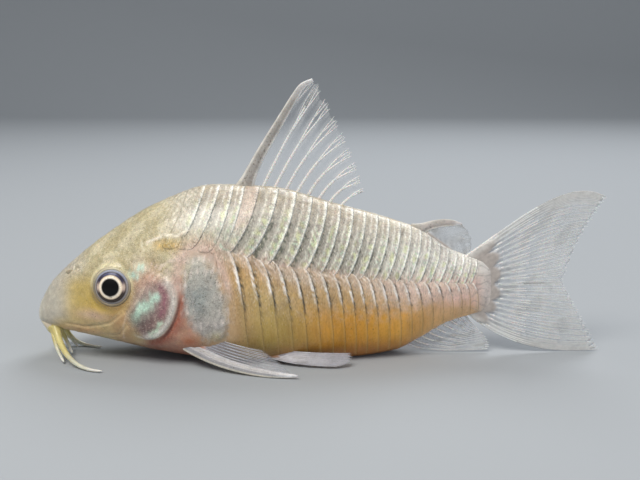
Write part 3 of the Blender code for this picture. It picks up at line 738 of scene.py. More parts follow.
class Markings(Places):
    """The fish's markings at some places, the same on the skin and on the plates that lie on it."""

    def flank(self) -> Paint:
        """The colours of the body behind the head.

        Returns:
            The paint.
        """
        x, z = self.x, self.z
        above = z - TORSO.line_height(x)
        wave, small = ripple(x, z, 6.0, 11), ripple(x, z, 1.6, 12)
        paint = Paint.ground(x.shape, "#B5AFA4")
        paint.lay("#D3D1C6", ramp(38, 50, x))
        paint.lay("#BBA984", ramp(3.4, 0.2, TORSO.section(x).top - z) * (0.7 + 0.3 * small), 0.6)
        paint.lay("#ABB59A", bell(above - 2.4, 2.0) * ramp(50, 40, x), 0.3)
        # The belly's ochre, more golden to the rear, and brown low down where it rests, partly its own
        # colour and partly painted shade near the floor.
        below = ramp(1.0, -2.4, above + 0.4 * wave)
        paint.lay("#C59A52", below)
        paint.lay("#BE9852", below * ramp(-0.6, -3.0, above) * ramp(45, 37, x), 0.8)
        golden = ramp(-2.2, -5.2, above + 0.6 * wave)
        paint.lay("#D2942F", golden * ramp(31, 42, x), 0.95)
        paint.lay("#E0A544", golden * ramp(41, 47, x), 0.8)
        paint.lay("#AD9A57", ramp(-1.4, -4.4, above) * ramp(38, 31, x), 0.6)
        # Brown low down: partly the belly's colour, partly painted shade near the floor.
        paint.lay("#9A5A28", ramp(3.8, 0.9, z) * ramp(27, 33, x), 0.7)
        paint.lay("#B8966C", ramp(31.0, 26.0, x) * ramp(0.0, -3.0, above), 0.85)
        paint.lay("#8F897D", bell((x - 37.0) / 7.5, 1.0) * bell(above - 3.2, 2.9), 0.75)
        seam = bell(above - 0.1, 1.15) * (0.8 + 0.2 * small)
        paint.lay("#BE9A80", seam * ramp(22, 30, x), 0.75)
        paint.lay("#E0C6B8", seam * ramp(42, 50, x), 0.75)
        # The tail stem's rose, and the pale scaly skin over the roots of the tail fin.
        rose = ramp(46, 55, x)
        paint.lay("#ECC6BA", rose * bell(above + 1.0, 2.6) * (0.85 + 0.15 * small), 0.92)
        paint.lay("#E6E2DB", rose * ramp(1.0, 2.8, above), 0.85)
        paint.lay("#E0B98C", rose * ramp(-2.2, -3.8, above) * ramp(60.0, 57.0, x), 0.6)
        paint.lay("#CCC6C0", ramp(57.2, 59.4, x), 0.8)
        scaly = bell(ripple(x, z, 2.2, 14), 0.16) * ramp(56.4, 57.8, x)
        paint.lay("#8D8580", scaly, 0.55)
        paint.lay("#CFAE92", ramp(0.35, 0.05, z) * ramp(7.0, 5.0, np.abs(self.y)), 0.4)
        return paint

    def skin(self) -> Paint:
        """The colours of the whole skin, from the snout to the tail fin.

        Returns:
            The paint.
        """
        paint = self.flank()
        for region in (self.crown, self.face, self.gill_region, self.shoulder):
            region(paint)
        return paint

    def crown(self, paint: Paint) -> None:
        """The granular olive-gold top of the head, greyer at the snout and the nape.

        Args:
            paint: What it is laid on.
        """
        x, y, z = self.x, self.y, self.z
        head = ramp(21.8, 20.2, x - 0.33 * (z - 9.0))
        down = 1.3 * np.abs(y) - z
        wave, small = ripple(x, down, 3.2, 3), ripple(x, down, 0.9, 4)
        paint.lay("#BCB290", head)
        paint.lay("#D5CCB2", head * ramp(0.1, 0.8, wave + 0.4 * small), 0.5)
        paint.lay("#A89B75", head * ramp(-0.2, -0.9, wave + 0.5 * small), 0.45)
        paint.lay("#BDB6A8", head * ramp(8.5, 4.5, x), 0.85)
        paint.lay("#C0BAAC", head * ramp(16.5, 20.0, x) * ramp(16.0, 18.5, z), 0.8)
        paint.lay("#E6DFCF", head * ramp(15.5, 19.0, x) * ramp(17.5, 19.0, z) * ramp(0.0, 0.6, small), 0.5)
        paint.lay("#A8A393", head * bell(np.abs(y), 0.9) * ramp(5.0, 8.0, x) * ramp(9.0, 12.0, z), 0.3)
        paint.lay("#D2A94C", self.streak(((16.9, 15.8), (19.6, 15.7)), 0.7) * (0.75 + 0.25 * small), 0.7)
        paint.lay("#EFE5D2", self.streak(HEAD.crown_seam, 0.17), 0.9)
        paint.lay("#E8DACA", self.streak(HEAD.temple_seam, 0.15), 0.85)

    def face(self, paint: Paint) -> None:
        """The snout, the yellow cheek and the pink and tan lower face.

        Args:
            paint: What it is laid on.
        """
        x, z = self.x, self.z
        wave, small = ripple(x, z, 2.4, 21), ripple(x, z, 0.8, 22)
        front = ramp(15.4, 12.5, x)
        low = ramp(11.8, 9.2, z - 0.1 * x)
        paint.lay("#BBA566", front * low * ramp(2.5, 6.5, x))
        gold = self.spot(9.4, 7.75, 1.0, wide=2.3, lean=0.1)
        paint.lay("#C4A240", front * gold * (0.9 + 0.1 * small), 0.85)
        paint.lay("#B4AFA2", ramp(5.4, 2.0, x) * ramp(4.2, 6.0, z), 0.9)
        paint.lay("#C9C4B6", ramp(3.5, 1.0, x) * ramp(5.5, 7.5, z) * ramp(0.0, 0.7, small), 0.6)
        paint.lay("#DAD7C4", ramp(0.9, 0.2, x), 0.6)
        paint.lay("#C7B98A", front * ramp(6.3, 5.0, z) * ramp(2.0, 4.0, x), 0.8)
        lilac = self.spot(8.4, 6.45, 0.85, wide=2.9, lean=0.08)
        paint.lay("#C4A79A", lilac * (0.8 + 0.2 * wave), 0.9)
        paint.lay("#B48F68", front * ramp(9.4, 11.8, x) * ramp(9.8, 7.4, z), 0.8)
        paint.lay("#A87848", self.spot(12.1, 7.6, 0.9, wide=1.2) * (0.8 + 0.2 * small), 0.5)
        paint.lay("#DDB386", front * self.spot(6.6, 4.2, 1.1, wide=3.2), 0.9)
        paint.lay("#C59F86", ramp(12.5, 14.5, x) * ramp(18.5, 16.0, x) * bell(z - 11.4, 2.1), 0.85)
        paint.lay("#D9B49F", self.spot(16.4, 11.4, 0.6, wide=1.6, lean=0.3), 0.7)
        # The lid: light above the eye, brown below it, and grey where it meets the ball.
        eye, over = HEAD.from_eye(x, z) - HEAD.eye_opening, z - HEAD.eye_z
        paint.lay("#E0D6AE", bell(eye - 0.36, 0.24) * ramp(-1.5, 1.0, over), 0.8)
        paint.lay("#94784A", bell(eye - 0.42, 0.24) * ramp(0.5, -1.5, over), 0.75)
        paint.lay("#B39A52", bell(eye - 0.95, 0.4) * ramp(0.0, -1.8, over), 0.5)
        paint.lay("#8C8478", ramp(0.16, -0.05, eye), 0.9)

    def gill_region(self, paint: Paint) -> None:
        """The iridescent gill cover, and the red skin behind and below it.

        Args:
            paint: What it is laid on.
        """
        x, z, oval = self.x, self.z, HEAD.gill_cover
        along, across = oval.turned(x, z)
        inside = oval.inside(x, z)
        wave, small = ripple(x, z, 1.3, 51), ripple(x, z, 0.6, 52)
        red = ramp(13.5, 16.5, x) * ramp(24.0, 20.8, x) * ramp(14.5, 11.5, z + 0.1 * x)
        paint.lay("#BE8E7C", red * (0.9 + 0.1 * wave), 0.85)
        band = self.streak(((19.6, 11.4), (20.0, 8.6), (19.3, 6.0), (17.9, 4.0), (16.0, 2.8)), 0.85)
        paint.lay("#8E3F2C", band * (0.85 + 0.15 * small), 0.85)
        throat = ramp(3.8, 1.6, z - 0.05 * (x - 17)) * ramp(10.0, 15.5, x) * ramp(26.0, 22.0, x)
        paint.lay("#8A4C36", throat * (0.9 + 0.1 * wave), 0.85)
        softness = 0.15 + 1.7 * ramp(0.45, -0.35, across)
        cover = ramp(-0.1, 1.0, inside / softness)
        paint.lay("#A38F86", cover, 0.95)
        plum = np.hypot(along + 0.55, (across + 0.1) / 1.2), np.hypot(along - 0.05, (across - 0.1) / 1.2)
        paint.lay("#573839", cover * bell(plum[0], 0.6), 0.92)
        paint.lay("#7E6062", cover * bell(plum[1], 0.55), 0.7)
        paint.lay("#B9A39A", cover * ramp(0.2, 0.9, ripple(x * 1.4, z * 0.8, 0.8, 53)), 0.45)
        rosy = self.streak(((17.6, 10.8), (18.0, 9.2), (17.5, 7.2)), 0.55)
        paint.lay("#96586A", cover * rosy * (0.75 + 0.25 * small), 0.8)
        # The mint glints, whose outlines shimmer.
        shimmer = 0.2 * ripple(x, z, 1.7, 54) + 0.14 * ripple(x, z, 0.5, 55)
        mint = self.streak(((14.2, 7.2), (15.5, 8.3), (16.6, 9.3)), 0.5, shimmer)
        paint.lay("#CDF2E0", cover * mint * (0.85 + 0.15 * small), 0.85)
        paint.lay("#B9DCC4", cover * self.streak(((13.7, 6.4), (15.9, 8.6)), 0.95, shimmer), 0.4)
        low_mint = self.streak(((17.1, 5.9), (16.7, 4.9), (15.8, 4.2)), 0.35, shimmer)
        paint.lay("#C6E4C8", cover * low_mint, 0.75)
        # The cover's pale rim, the dark slit behind it, which is painted shade in the gill opening's groove,
        # and the ridge in front of it.
        rim = cover * bell(inside - 0.42, 0.36) * ramp(-0.1, 0.4, across)
        paint.lay("#DCDAD2", rim * (0.8 + 0.2 * small), 0.85)
        paint.lay("#E9E1D0", bell(inside - 0.06, 0.13) * ramp(-0.4, 0.2, across), 0.8)
        # Painted shade in the groove of the gill opening.
        slit = bell(inside + 0.26, 0.17) * ramp(0.0, 0.5, across) * ramp(0.9, 0.5, np.abs(along))
        paint.lay("#6E3F36", slit, 0.7)
        ridge = self.streak(((12.1, 3.5), (12.3, 5.4), (12.9, 7.0), (14.1, 8.4), (15.2, 10.4)), 0.16)
        paint.lay("#E0CCB4", ridge * (0.75 + 0.25 * small), 0.55)
        patches = self.spot(14.6, 12.8, 0.75, tall=0.7143, stir=shimmer)
        patches = patches + self.spot(13.9, 12.0, 0.6, tall=0.7692, stir=shimmer)
        paint.lay("#CDF2E2", patches * (0.8 + 0.2 * small), 0.9)
        threads = ((16.2, 13.4), (18.2, 12.6), (19.4, 11.2)), ((15.4, 12.2), (17.2, 11.4), (18.6, 10.2))
        for thread in (*threads, ((19.0, 13.4), (20.6, 12.4), (21.4, 10.8)), ((18.4, 15.0), (20.4, 13.8))):
            paint.lay("#EBD9CC", self.streak(thread, 0.13, 0.4 * shimmer), 0.6)
        paint.lay("#E9D5C2", self.streak(((15.3, 13.0), (16.6, 12.3), (18.4, 11.7)), 0.15), 0.75)
        seam = np.minimum(stroke(x, z, HEAD.cheek_seam), stroke(x, z, HEAD.jaw_seam))
        paint.lay("#DCC89A", bell(seam - 0.2, 0.14) * ramp(16, 13, x), 0.35)

    def shoulder(self, paint: Paint) -> None:
        """The speckled blue-grey plate behind the gills, with its pale, wispy edge.

        Args:
            paint: What it is laid on.
        """
        x, z = self.x, self.z
        inside = HEAD.shoulder.inside(x, z)
        wave, small = ripple(x, z, 3.0, 31), ripple(x, z, 0.9, 32)
        scaly = self.spot(24.8, 15.2, 1.0, wide=3.2, tall=1.5, lean=0.25)
        paint.lay("#C9B5A4", scaly, 0.6)
        paint.lay("#EADFD2", scaly * ramp(0.15, 0.7, ripple(x, z, 1.1, 34)), 0.8)
        paint.lay("#6F6C60", scaly * ramp(0.25, 0.8, ripple(x, z, 0.8, 35)), 0.6)
        paint.lay("#A9CDB5", scaly * ramp(0.5, 0.9, ripple(x, z, 0.9, 36)), 0.7)
        cover = ramp(-0.4, 0.9, inside + 0.25 * wave + 0.15 * small)
        edge = bell(inside + 0.45, 0.7)
        paint.lay("#BFA07A", edge * ramp(22.5, 24.0, x), 0.8)
        paint.lay("#CBB0A2", edge * ramp(8.5, 11.0, z), 0.8)
        paint.lay("#ABAAA4", cover, 0.92)
        dark = self.spot(22.0, 9.6, 1.6, tall=1.5, stir=0.35 * wave)
        paint.lay("#868F8E", cover * dark * (0.85 + 0.2 * small), 0.85)
        paint.lay("#C5C1B4", cover * self.spot(21.4, 13.2, 1.4, tall=1.25), 0.75)
        paint.lay("#A8A29E", cover * ramp(7.6, 5.8, z), 0.7)
        paint.lay("#A9A36E", cover * self.spot(24.4, 4.2, 0.9, tall=0.8), 0.85)
        wisps = ramp(0.2, 0.9, ripple(x * 1.6, z * 0.6, 1.1, 33)) * bell(inside - 0.5, 0.8)
        paint.lay("#DED3CB", wisps * ramp(3.5, 6.5, z), 0.7)
        paint.lay("#A9603A", self.spot(20.8, 3.6, 0.6, wide=1.6), 0.8)


@dataclass(frozen=True)
class Finish:
    """A finish, which its shader's inputs make. It is named for what the real surface is."""

    name: str

    def inputs(self, tree: Tree) -> dict:
        """The shader's inputs, by name."""
        raise NotImplementedError

    def build(self) -> Material:
        """Makes the material.

        Returns:
            The material.
        """
        material = bpy.data.materials.new(self.name)
        material.use_nodes = True
        tree = material.node_tree
        tree.nodes.clear()
        shader = add(tree, "ShaderNodeBsdfPrincipled", self.inputs(tree))
        add(tree, "ShaderNodeOutputMaterial", {"Surface": shader})
        return material


@dataclass(frozen=True)
class SkinFinish(Finish):
    """Scaleless catfish skin, kept moist by its slime, over grains of bone and cells of pigment.

    To the eye that is a soft gloss under a thin clear coat, fine pale grains with painted glints, small
    dark smudges, and a little light that comes back out of the flesh. The paint attribute holds the
    markings, grain says how granular the skin is, and fleck how much dark pigment it has.
    """

    grain_mm: float = 0.15
    fleck_mm: float = 0.22
    mottle_mm: float = 1.6
    clump: float = 3.6  # how many grains wide a clump of them is
    pale_grain: str = "#F3EFDC"
    dark_cell: str = "#4C4638"
    roughness: float = 0.38
    coat: float = 0.25
    bump_mm: float = 0.03
    upright: float = 1.0  # below 1, the grains are drawn out into upright streaks
    # The brightest grains carry painted glints.
    sparkle: float = 0.55  # how pale the brightest grains are
    contrast: float = 0.34

    def inputs(self, tree: Tree) -> dict:
        """The shader's inputs.

        Args:
            tree: The material's tree.

        Returns:
            The inputs, by name.
        """
        place = add(tree, "ShaderNodeTexCoord", out="Object")
        place = add(tree, "ShaderNodeMapping", {"Vector": place, "Scale": (1.0, 1.0, self.upright)})
        paint = add(tree, "ShaderNodeAttribute", out="Color", attribute_name="paint")
        grain = add(tree, "ShaderNodeAttribute", out="Fac", attribute_name="grain")
        fleck = add(tree, "ShaderNodeAttribute", out="Fac", attribute_name="fleck")
        sizes = self.mottle_mm, self.grain_mm, self.clump * self.grain_mm, self.fleck_mm
        mottle, fine, clumps, pigment = (
            add(tree, "ShaderNodeTexNoise", {"Vector": place, "Scale": 1 / (size * MM), "Detail": detail})
            for size, detail in zip(sizes, (5.0, 2.0, 2.0, 1.5))
        )
        clouds = add(tree, "ShaderNodeMapRange", (mottle, 0.3, 0.7, 0.87, 1.13))
        clumps = add(tree, "ShaderNodeMapRange", (clumps, 0.35, 0.65, -0.2, 0.2))
        clouds = add(tree, "ShaderNodeMath", (clumps, grain, clouds), operation="MULTIPLY_ADD")
        rubbed = add(tree, "ShaderNodeMapRange", (fine, 0.3, 0.7, -self.contrast, self.contrast))
        shade = add(tree, "ShaderNodeMath", (rubbed, grain, clouds), operation="MULTIPLY_ADD")
        colour = add(tree, "ShaderNodeMix", {0: 1.0, UNDER: paint, OVER: shade}, MIXED, **SHADE)
        # Pale grains in random cells: partly the grains' own pale colour, partly painted glints of light.
        cells = add(tree, "ShaderNodeTexVoronoi", {"Vector": place, "Scale": 1 / (self.grain_mm * MM)})
        chance = add(tree, "ShaderNodeSeparateColor", (cells.node.outputs["Color"],))
        lit = add(tree, "ShaderNodeMapRange", (chance, 0.65, 1.0, 0.0, self.sparkle))
        dot = add(tree, "ShaderNodeMapRange", (cells.node.outputs["Distance"], 0.6, 0.2, 0.0, 1.0))
        glint = add(tree, "ShaderNodeMath", (lit, dot), operation="MULTIPLY")
        glint = add(tree, "ShaderNodeMath", (glint, grain), operation="MULTIPLY")
        over = {0: glint, UNDER: colour, OVER: tuple(linear(self.pale_grain))}
        colour = add(tree, "ShaderNodeMix", over, MIXED, **LAY)
        level = add(tree, "ShaderNodeMath", (fleck, -0.2, 0.72), operation="MULTIPLY_ADD")
        excess = add(tree, "ShaderNodeMath", (pigment, level), operation="SUBTRACT")
        smudge = add(tree, "ShaderNodeMapRange", (excess, 0.0, 0.09, 0.0, 0.6))
        over = {0: smudge, UNDER: colour, OVER: tuple(linear(self.dark_cell))}
        colour = add(tree, "ShaderNodeMix", over, MIXED, **LAY)
        smooth, dull = self.roughness - 0.08, self.roughness + 0.08
        rough = add(tree, "ShaderNodeMapRange", (fine, 0.3, 0.7, smooth, dull))
        bump = add(tree, "ShaderNodeBump", {"Strength": 0.5, "Distance": self.bump_mm * MM, "Height": fine})
        return {
            "Base Color": colour,
            "Roughness": rough,
            "Normal": bump,
            "Coat Weight": self.coat,
            "Coat Roughness": 0.2,
            "IOR": 1.42,
            "Subsurface Weight": 0.08,
            "Subsurface Radius": (1.0, 0.45, 0.25),
            "Subsurface Scale": 0.6 * MM,
        }


@dataclass(frozen=True)
class MembraneFinish(Finish):
    """The thin wet skin between a fin's rays. It is clear, so the eye sees gloss and a grey veil.

    The veil attribute says how opaque it is.
    """

    name: str = "wet fin membrane"
    roughness: float = 0.25

    def inputs(self, tree: Tree) -> dict:
        """The shader's inputs.

        Args:
            tree: The material's tree.

        Returns:
            The inputs, by name.
        """
        colour = mottled_paint(tree, 0.5, 0.85, 1.1)
        veil = add(tree, "ShaderNodeAttribute", out="Fac", attribute_name="veil")
        return {"Base Color": colour, "Alpha": veil, "Roughness": self.roughness, "IOR": 1.36}


@dataclass(frozen=True)
class RayFinish(Finish):
    """The bony rays of a fin: ivory segments with darker joints between them.

    Under their wet skin they are half glossy, and light goes a little way in.
    """

    bone: str = "#E9E8E5"
    joint: str = "#CFCCC7"
    roughness: float = 0.34

    def inputs(self, tree: Tree) -> dict:
        """The shader's inputs.

        Args:
            tree: The material's tree.

        Returns:
            The inputs, by name.
        """
        place = add(tree, "ShaderNodeTexCoord", out="Object")
        joint = add(tree, "ShaderNodeAttribute", out="Fac", attribute_name="joint")
        clouds = add(tree, "ShaderNodeTexNoise", {"Vector": place, "Scale": 1 / (0.5 * MM), "Detail": 3.0})
        patchy = add(tree, "ShaderNodeMapRange", (clouds, 0.35, 0.65, 0.2, 1.0))
        share = add(tree, "ShaderNodeMath", (joint, patchy), operation="MULTIPLY")
        over = {0: share, UNDER: tuple(linear(self.bone)), OVER: tuple(linear(self.joint))}
        return {
            "Base Color": add(tree, "ShaderNodeMix", over, MIXED, **LAY),
            "Roughness": self.roughness,
            "Subsurface Weight": 0.15,
            "Subsurface Scale": 0.3 * MM,
        }


@dataclass(frozen=True)
class EyeFinish(Finish):
    """The wet eye: a black pupil in a gilt ring under a clear cornea, which gives it a sharp glint."""

    name: str = "wet cornea over a gilt iris"

    def inputs(self, tree: Tree) -> dict:
        """The shader's inputs.

        Args:
            tree: The material's tree.

        Returns:
            The inputs, by name.
        """
        return {
            "Base Color": mottled_paint(tree, 0.16, 0.85, 1.12),
            "Roughness": 0.4,
            "Specular IOR Level": 0.15,
            "Coat Weight": 0.2,
            "Coat Roughness": 0.03,
        }


@dataclass(frozen=True)
class StudioFinish(Finish):
    """Matt pale paper, for the floor and the wall behind it. It has no gloss and no pattern."""

    name: str = "matt pale paper"
    colour: str = "#A3A8AD"

    def inputs(self, tree: Tree) -> dict:
        """The shader's inputs.

        Args:
            tree: The material's tree.

        Returns:
            The inputs, by name.
        """
        return {"Base Color": tuple(linear(self.colour)), "Roughness": 0.85, "Specular IOR Level": 0.2}


@dataclass
class Skin:
    """The one skin of head, body and tail stem, with the forms of the head in its mesh."""

    around: int = 208
    head_rings: int = 170
    body_rings: int = 170
    head_to: float = 21.0
    crowd: float = 1.35  # how much closer the rings stand at the blunt snout

    def build(self, material: Material) -> None:
        """Makes the skin.

        Args:
            material: Its finish.
        """
        front = self.head_to * (np.arange(self.head_rings) / self.head_rings) ** self.crowd
        rear = np.linspace(self.head_to, TORSO.length, self.body_rings)
        x = np.concatenate([front, rear])[:, None]
        angle = turns(self.around)[None, :]
        x, angle = np.broadcast_arrays(x, np.where(angle > math.pi, angle - math.tau, angle))
        base = TORSO.point(x, angle)
        lift = HEAD.relief(base[..., 0], base[..., 2]) * ramp(0.0, 1.2, x)
        points = TORSO.lifted(x, angle, lift)
        for side in Side:
            points = HEAD.socket(points, side)
        paint = Markings.of(base).skin()
        piece = loft("skin", points, paint, grain=self.grain(base), fleck=self.fleck(base))
        dress(piece, material, ("head", "trunk", "tail_stem"))

    @staticmethod
    def grain(at: Array) -> Array:
        """How granular the skin is: most on the crown, the gill cover and the shoulder plate.

        Args:
            at: Points of the skin.

        Returns:
            The grain.
        """
        x, z = at[..., 0], at[..., 2]
        crown = ramp(21.5, 19.5, x) * ramp(9.0, 12.5, z + 0.1 * (10 - x))
        plates = ramp(-0.1, 0.4, HEAD.gill_cover.inside(x, z)) + ramp(-0.1, 0.4, HEAD.shoulder.inside(x, z))
        return 0.26 + 0.4 * np.clip(crown + 0.9 * plates, 0, 1)

    @staticmethod
    def fleck(at: Array) -> Array:
        """How much dark pigment the skin has.

        Args:
            at: Points of the skin.

        Returns:
            The fleck.
        """
        x, z = at[..., 0], at[..., 2]
        crown = ramp(22, 19, x) * ramp(10, 13, z)
        lilac = bell(np.hypot((x - 8.6) / 3.0, z - 6.5), 1.0)
        shoulder = ramp(0.0, 0.5, HEAD.shoulder.inside(x, z)) * ramp(5.0, 7.0, z)
        return 0.12 + 0.24 * crown + 0.28 * lilac + 0.36 * shoulder + 0.08 * ramp(55.5, 58.5, x)


@dataclass(frozen=True)
class PlateRow:
    """One row of upright bony plates along each flank.

    Each plate runs from its neighbour's rear edge to its own. edges gives the rear edges along the
    row, by the plate's number, read at the share of the plate's height that read_at says.
    """

    name: str
    above: bool
    count: int
    edges: Line
    lean: float
    read_at: float
    lean_power: float

    def edge(self, number: Array) -> Array:
        """Where the rear edge of that plate is along the fish."""
        index, places = np.array(self.edges).T
        return smooth_through(index, places, number)

    def swept(self, share: Array) -> Array:
        """How far the rear edge has moved, of the whole lean, at a share of the plate's height."""
        curve = (lambda s: s**self.lean_power) if self.above else (lambda s: 1 - (1 - s) ** self.lean_power)
        return curve(np.asarray(share, float)) - curve(self.read_at)


@dataclass
class FlankPlates:
    """The overlapping plates of both flanks, each a thin solid tongue with a free, rounded rear edge."""

    row: PlateRow
    along: int = 14
    down: int = 54
    rise: float = 0.12
    thickness: float = 0.09
    tuck: float = 0.4
    back_margin: float = 0.3
    belly_margin: float = 0.4
    tip_share: float = 0.1
    from_head: int = 5  # how many plates take on the head's markings
    pale: int = 4  # the upper row's paler plate

    def build(self, material: Material) -> None:
        """Makes all plates of the row, on both sides, as one piece.

        Args:
            material: Their finish.
        """
        plates = [self.plate(number, side) for side in Side for number in range(self.row.count)]
        points, paint, grain, fleck, unwrap = (np.stack(values) for values in zip(*plates))
        count, rings, around = grain.shape
        faces = [face for i in range(count) for face in ring_faces(rings, around, i * rings * around)]
        piece = make_piece(self.row.name, points, faces, paint, {"grain": grain, "fleck": fleck}, unwrap)
        dress(piece, material)

    def plate(self, number: int, side: Side) -> tuple[Array, Array, Array, Array, Array]:
        """One plate.

        Args:
            number: Its place in the row, from the front.
            side: The side it is on.

        Returns:
            A grid of points from top to bottom and round the plate's section, their colours, their
            grain, their fleck, and their places on the bake map.
        """
        share = np.linspace(0.0, 1.0, self.down)[:, None]
        top = np.linspace(0.0, 1.0, self.along)[None, :]
        ahead = np.concatenate([top, [[0.96, 0.5, 0.0]]], axis=1)
        under = np.concatenate([np.zeros_like(top), np.ones((1, 3))], axis=1)
        share, ahead, under = np.broadcast_arrays(share, ahead, under)
        x = self.place_along(number, share, ahead)
        angle = self.angle(x, share)
        upper = self.height(share, ahead, number)
        lower = upper - self.thickness - 0.25 * (ahead < 0.9)
        points = TORSO.lifted(x, angle * side.value, np.where(under > 0, lower, upper))
        at = Markings.of(TORSO.point(x, angle * side.value))
        paint = self.colours(number, at, share, ahead, under)
        grain, fleck = self.marks(share, ahead)
        shown = np.where(under > 0, 0.04 * ahead, 0.05 + 0.95 * ahead)
        front = self.place_along(number, share, np.zeros_like(ahead)) + self.tuck
        rear = self.place_along(number, share, np.ones_like(ahead))
        spot = front + (rear - front) * shown
        unwrap = np.stack([spot / UNWRAP_LENGTH, angle * side.value / math.tau + 0.5], axis=-1)
        return points, paint, grain, fleck, unwrap

    def place_along(self, number: int, share: Array, ahead: Array) -> Array:
        """Where along the fish a place on the plate is. The tip at the lateral line is rounded.

        Args:
            number: The plate's place in the row.
            share: How far down the plate, from 0 to 1.
            ahead: How far back on it.

        Returns:
            The x in millimetres.
        """
        row = self.row
        pitch = row.edge(number + 0.5) - row.edge(number - 0.5)
        sweep = row.lean * pitch * row.swept(share)
        front = row.edge(number - 1.0) - self.tuck + sweep
        if number == 0:
            front = row.edge(0.0) - 1.25 * pitch + sweep
        rear = row.edge(float(number)) + sweep
        tip = (share - 1 + self.tip_share) if row.above else (self.tip_share - share)
        away = np.clip(tip / self.tip_share, 0.0, 1.0)
        narrow = 1 - (0.6 if row.above else 0.35) * (1 - np.sqrt(1 - away**2))
        middle = front + (rear - front) * (0.5 if row.above else 0.2)
        return middle + (front + (rear - front) * ahead - middle) * narrow

    def angle(self, x: Array, share: Array) -> Array:
        """The angle round the body at a place on the plate.

        Args:
            x: Places from the snout.
            share: How far down the plate each is.

        Returns:
            The angles, on the right side.
        """
        s = TORSO.section(x)
        line = TORSO.angle_at(x, TORSO.line_height(x) - (0.3 if self.row.above else -0.7))
        if self.row.above:
            margin = np.clip(self.back_margin / s.half_width, 0, 1)
            end = np.arcsin(margin ** (s.above / 2))
            return end + (line - end) * share
        end = TORSO.angle_at(x, np.maximum(s.bottom, 0.0) + self.belly_margin)
        return line + (end - line) * share

    def height(self, share: Array, ahead: Array, number: int) -> Array:
        """How far the plate's outer face stands above the skin.

        Args:
            share: How far down the plate each place is.
            ahead: How far back.
            number: The plate's place in the row.

        Returns:
            The height in millimetres.
        """
        if self.row.above:
            fade = 1 - 0.75 * ramp(0.5, 0.1, share)
            fade = fade * ramp(1.0, 0.84, share) * (1 - ramp(4.5, 0.5, number) * ramp(0.5, 0.9, share))
            ends = 0.25 * ramp(0.05, 0.0, share)
        else:
            fade = (1 - 0.9 * ramp(0.12, 0.34, share)) * (0.1 + 0.9 * ramp(0.0, 0.1, share))
            ends = 0.25 * ramp(0.94, 1.0, share)
        rounding = 0.05 * ramp(0.9, 1.0, ahead) ** 2
        wobble = 0.01 * ripple(share * 9, ahead * 2 + number, 1.7, 13)
        return 0.035 + fade * (self.rise * ahead**0.8 - rounding + wobble) - ends

    def colours(self, number: int, at: Markings, share: Array, ahead: Array, under: Array) -> Array:
        """The plate's colours. The first few plates take on the head's markings.

        Args:
            number: Its place in the row.
            at: The places that it covers.
            share: How far down the plate each is, from 0 to 1.
            ahead: How far back on it.
            under: 1 on its underside.

        Returns:
            The colours.
        """
        paint = at.flank()
        exposed = (ahead - 0.2) / 0.8
        wave, small = ripple(at.z, at.x, 1.5, 40 + number), ripple(at.z, at.x, 0.6, 80 + number)
        if self.row.above:
            # Silver bands, a cream rear edge and, low down, a green glow and a dark slit in front, partly
            # painted shade.
            grey = bell(exposed - 0.2, 0.17) * ramp(0.02, 0.3, share)
            paint.lay("#9D978F", grey * (0.8 + 0.3 * wave), 0.75)
            pink = bell(exposed - 0.62, 0.13) * ramp(0.05, 0.35, share)
            paint.lay("#B3A59F", pink * (0.7 + 0.3 * small), 0.75)
            paint.lay("#EFEBE0", bell(exposed - 0.42 + 0.05 * wave, 0.07) * (0.7 + 0.4 * small), 0.8)
            paint.lay("#F8F5EA", ramp(0.7, 0.86, exposed + 0.06 * small) * (0.75 + 0.3 * wave), 0.9)
            glow = bell(exposed - 0.68, 0.22) * ramp(0.3, 0.62, share) * ramp(1.0, 0.9, share)
            paint.lay("#CCD29E", glow * ramp(-0.3, 0.6, wave + 0.5 * small), 0.7)
            paint.lay("#A9C9B0", glow * ramp(0.4, 1.0, small - 0.4 * wave), 0.6)
            # The slit is partly dark pigment and partly painted shade where the previous plate's edge
            # overhangs.
            slit = ramp(0.17, 0.06, exposed + 0.05 * small) * ramp(0.45, 0.62, share + 0.1 * wave)
            paint.lay("#50564B", slit * ramp(-0.6, 0.4, small + 0.6 * wave), 0.85)
            foot = bell(exposed - 0.5, 0.1) * bell(share - 0.95, 0.05)
            paint.lay("#5E6057", foot * ramp(-0.3, 0.5, wave), 0.5)
            paint.lay("#F6F2E6", ramp(0.86, 0.95, ahead) * (0.75 + 0.25 * small), 0.8)
            paint.lay("#CBA696", ramp(0.88, 0.98, share) * ramp(0.2, 0.5, exposed), 0.5)
            if number == self.pale:
                paint.lay("#D2BFB1", ramp(0.85, 0.65, share) * ramp(-0.2, 0.2, exposed), 0.7)
        else:
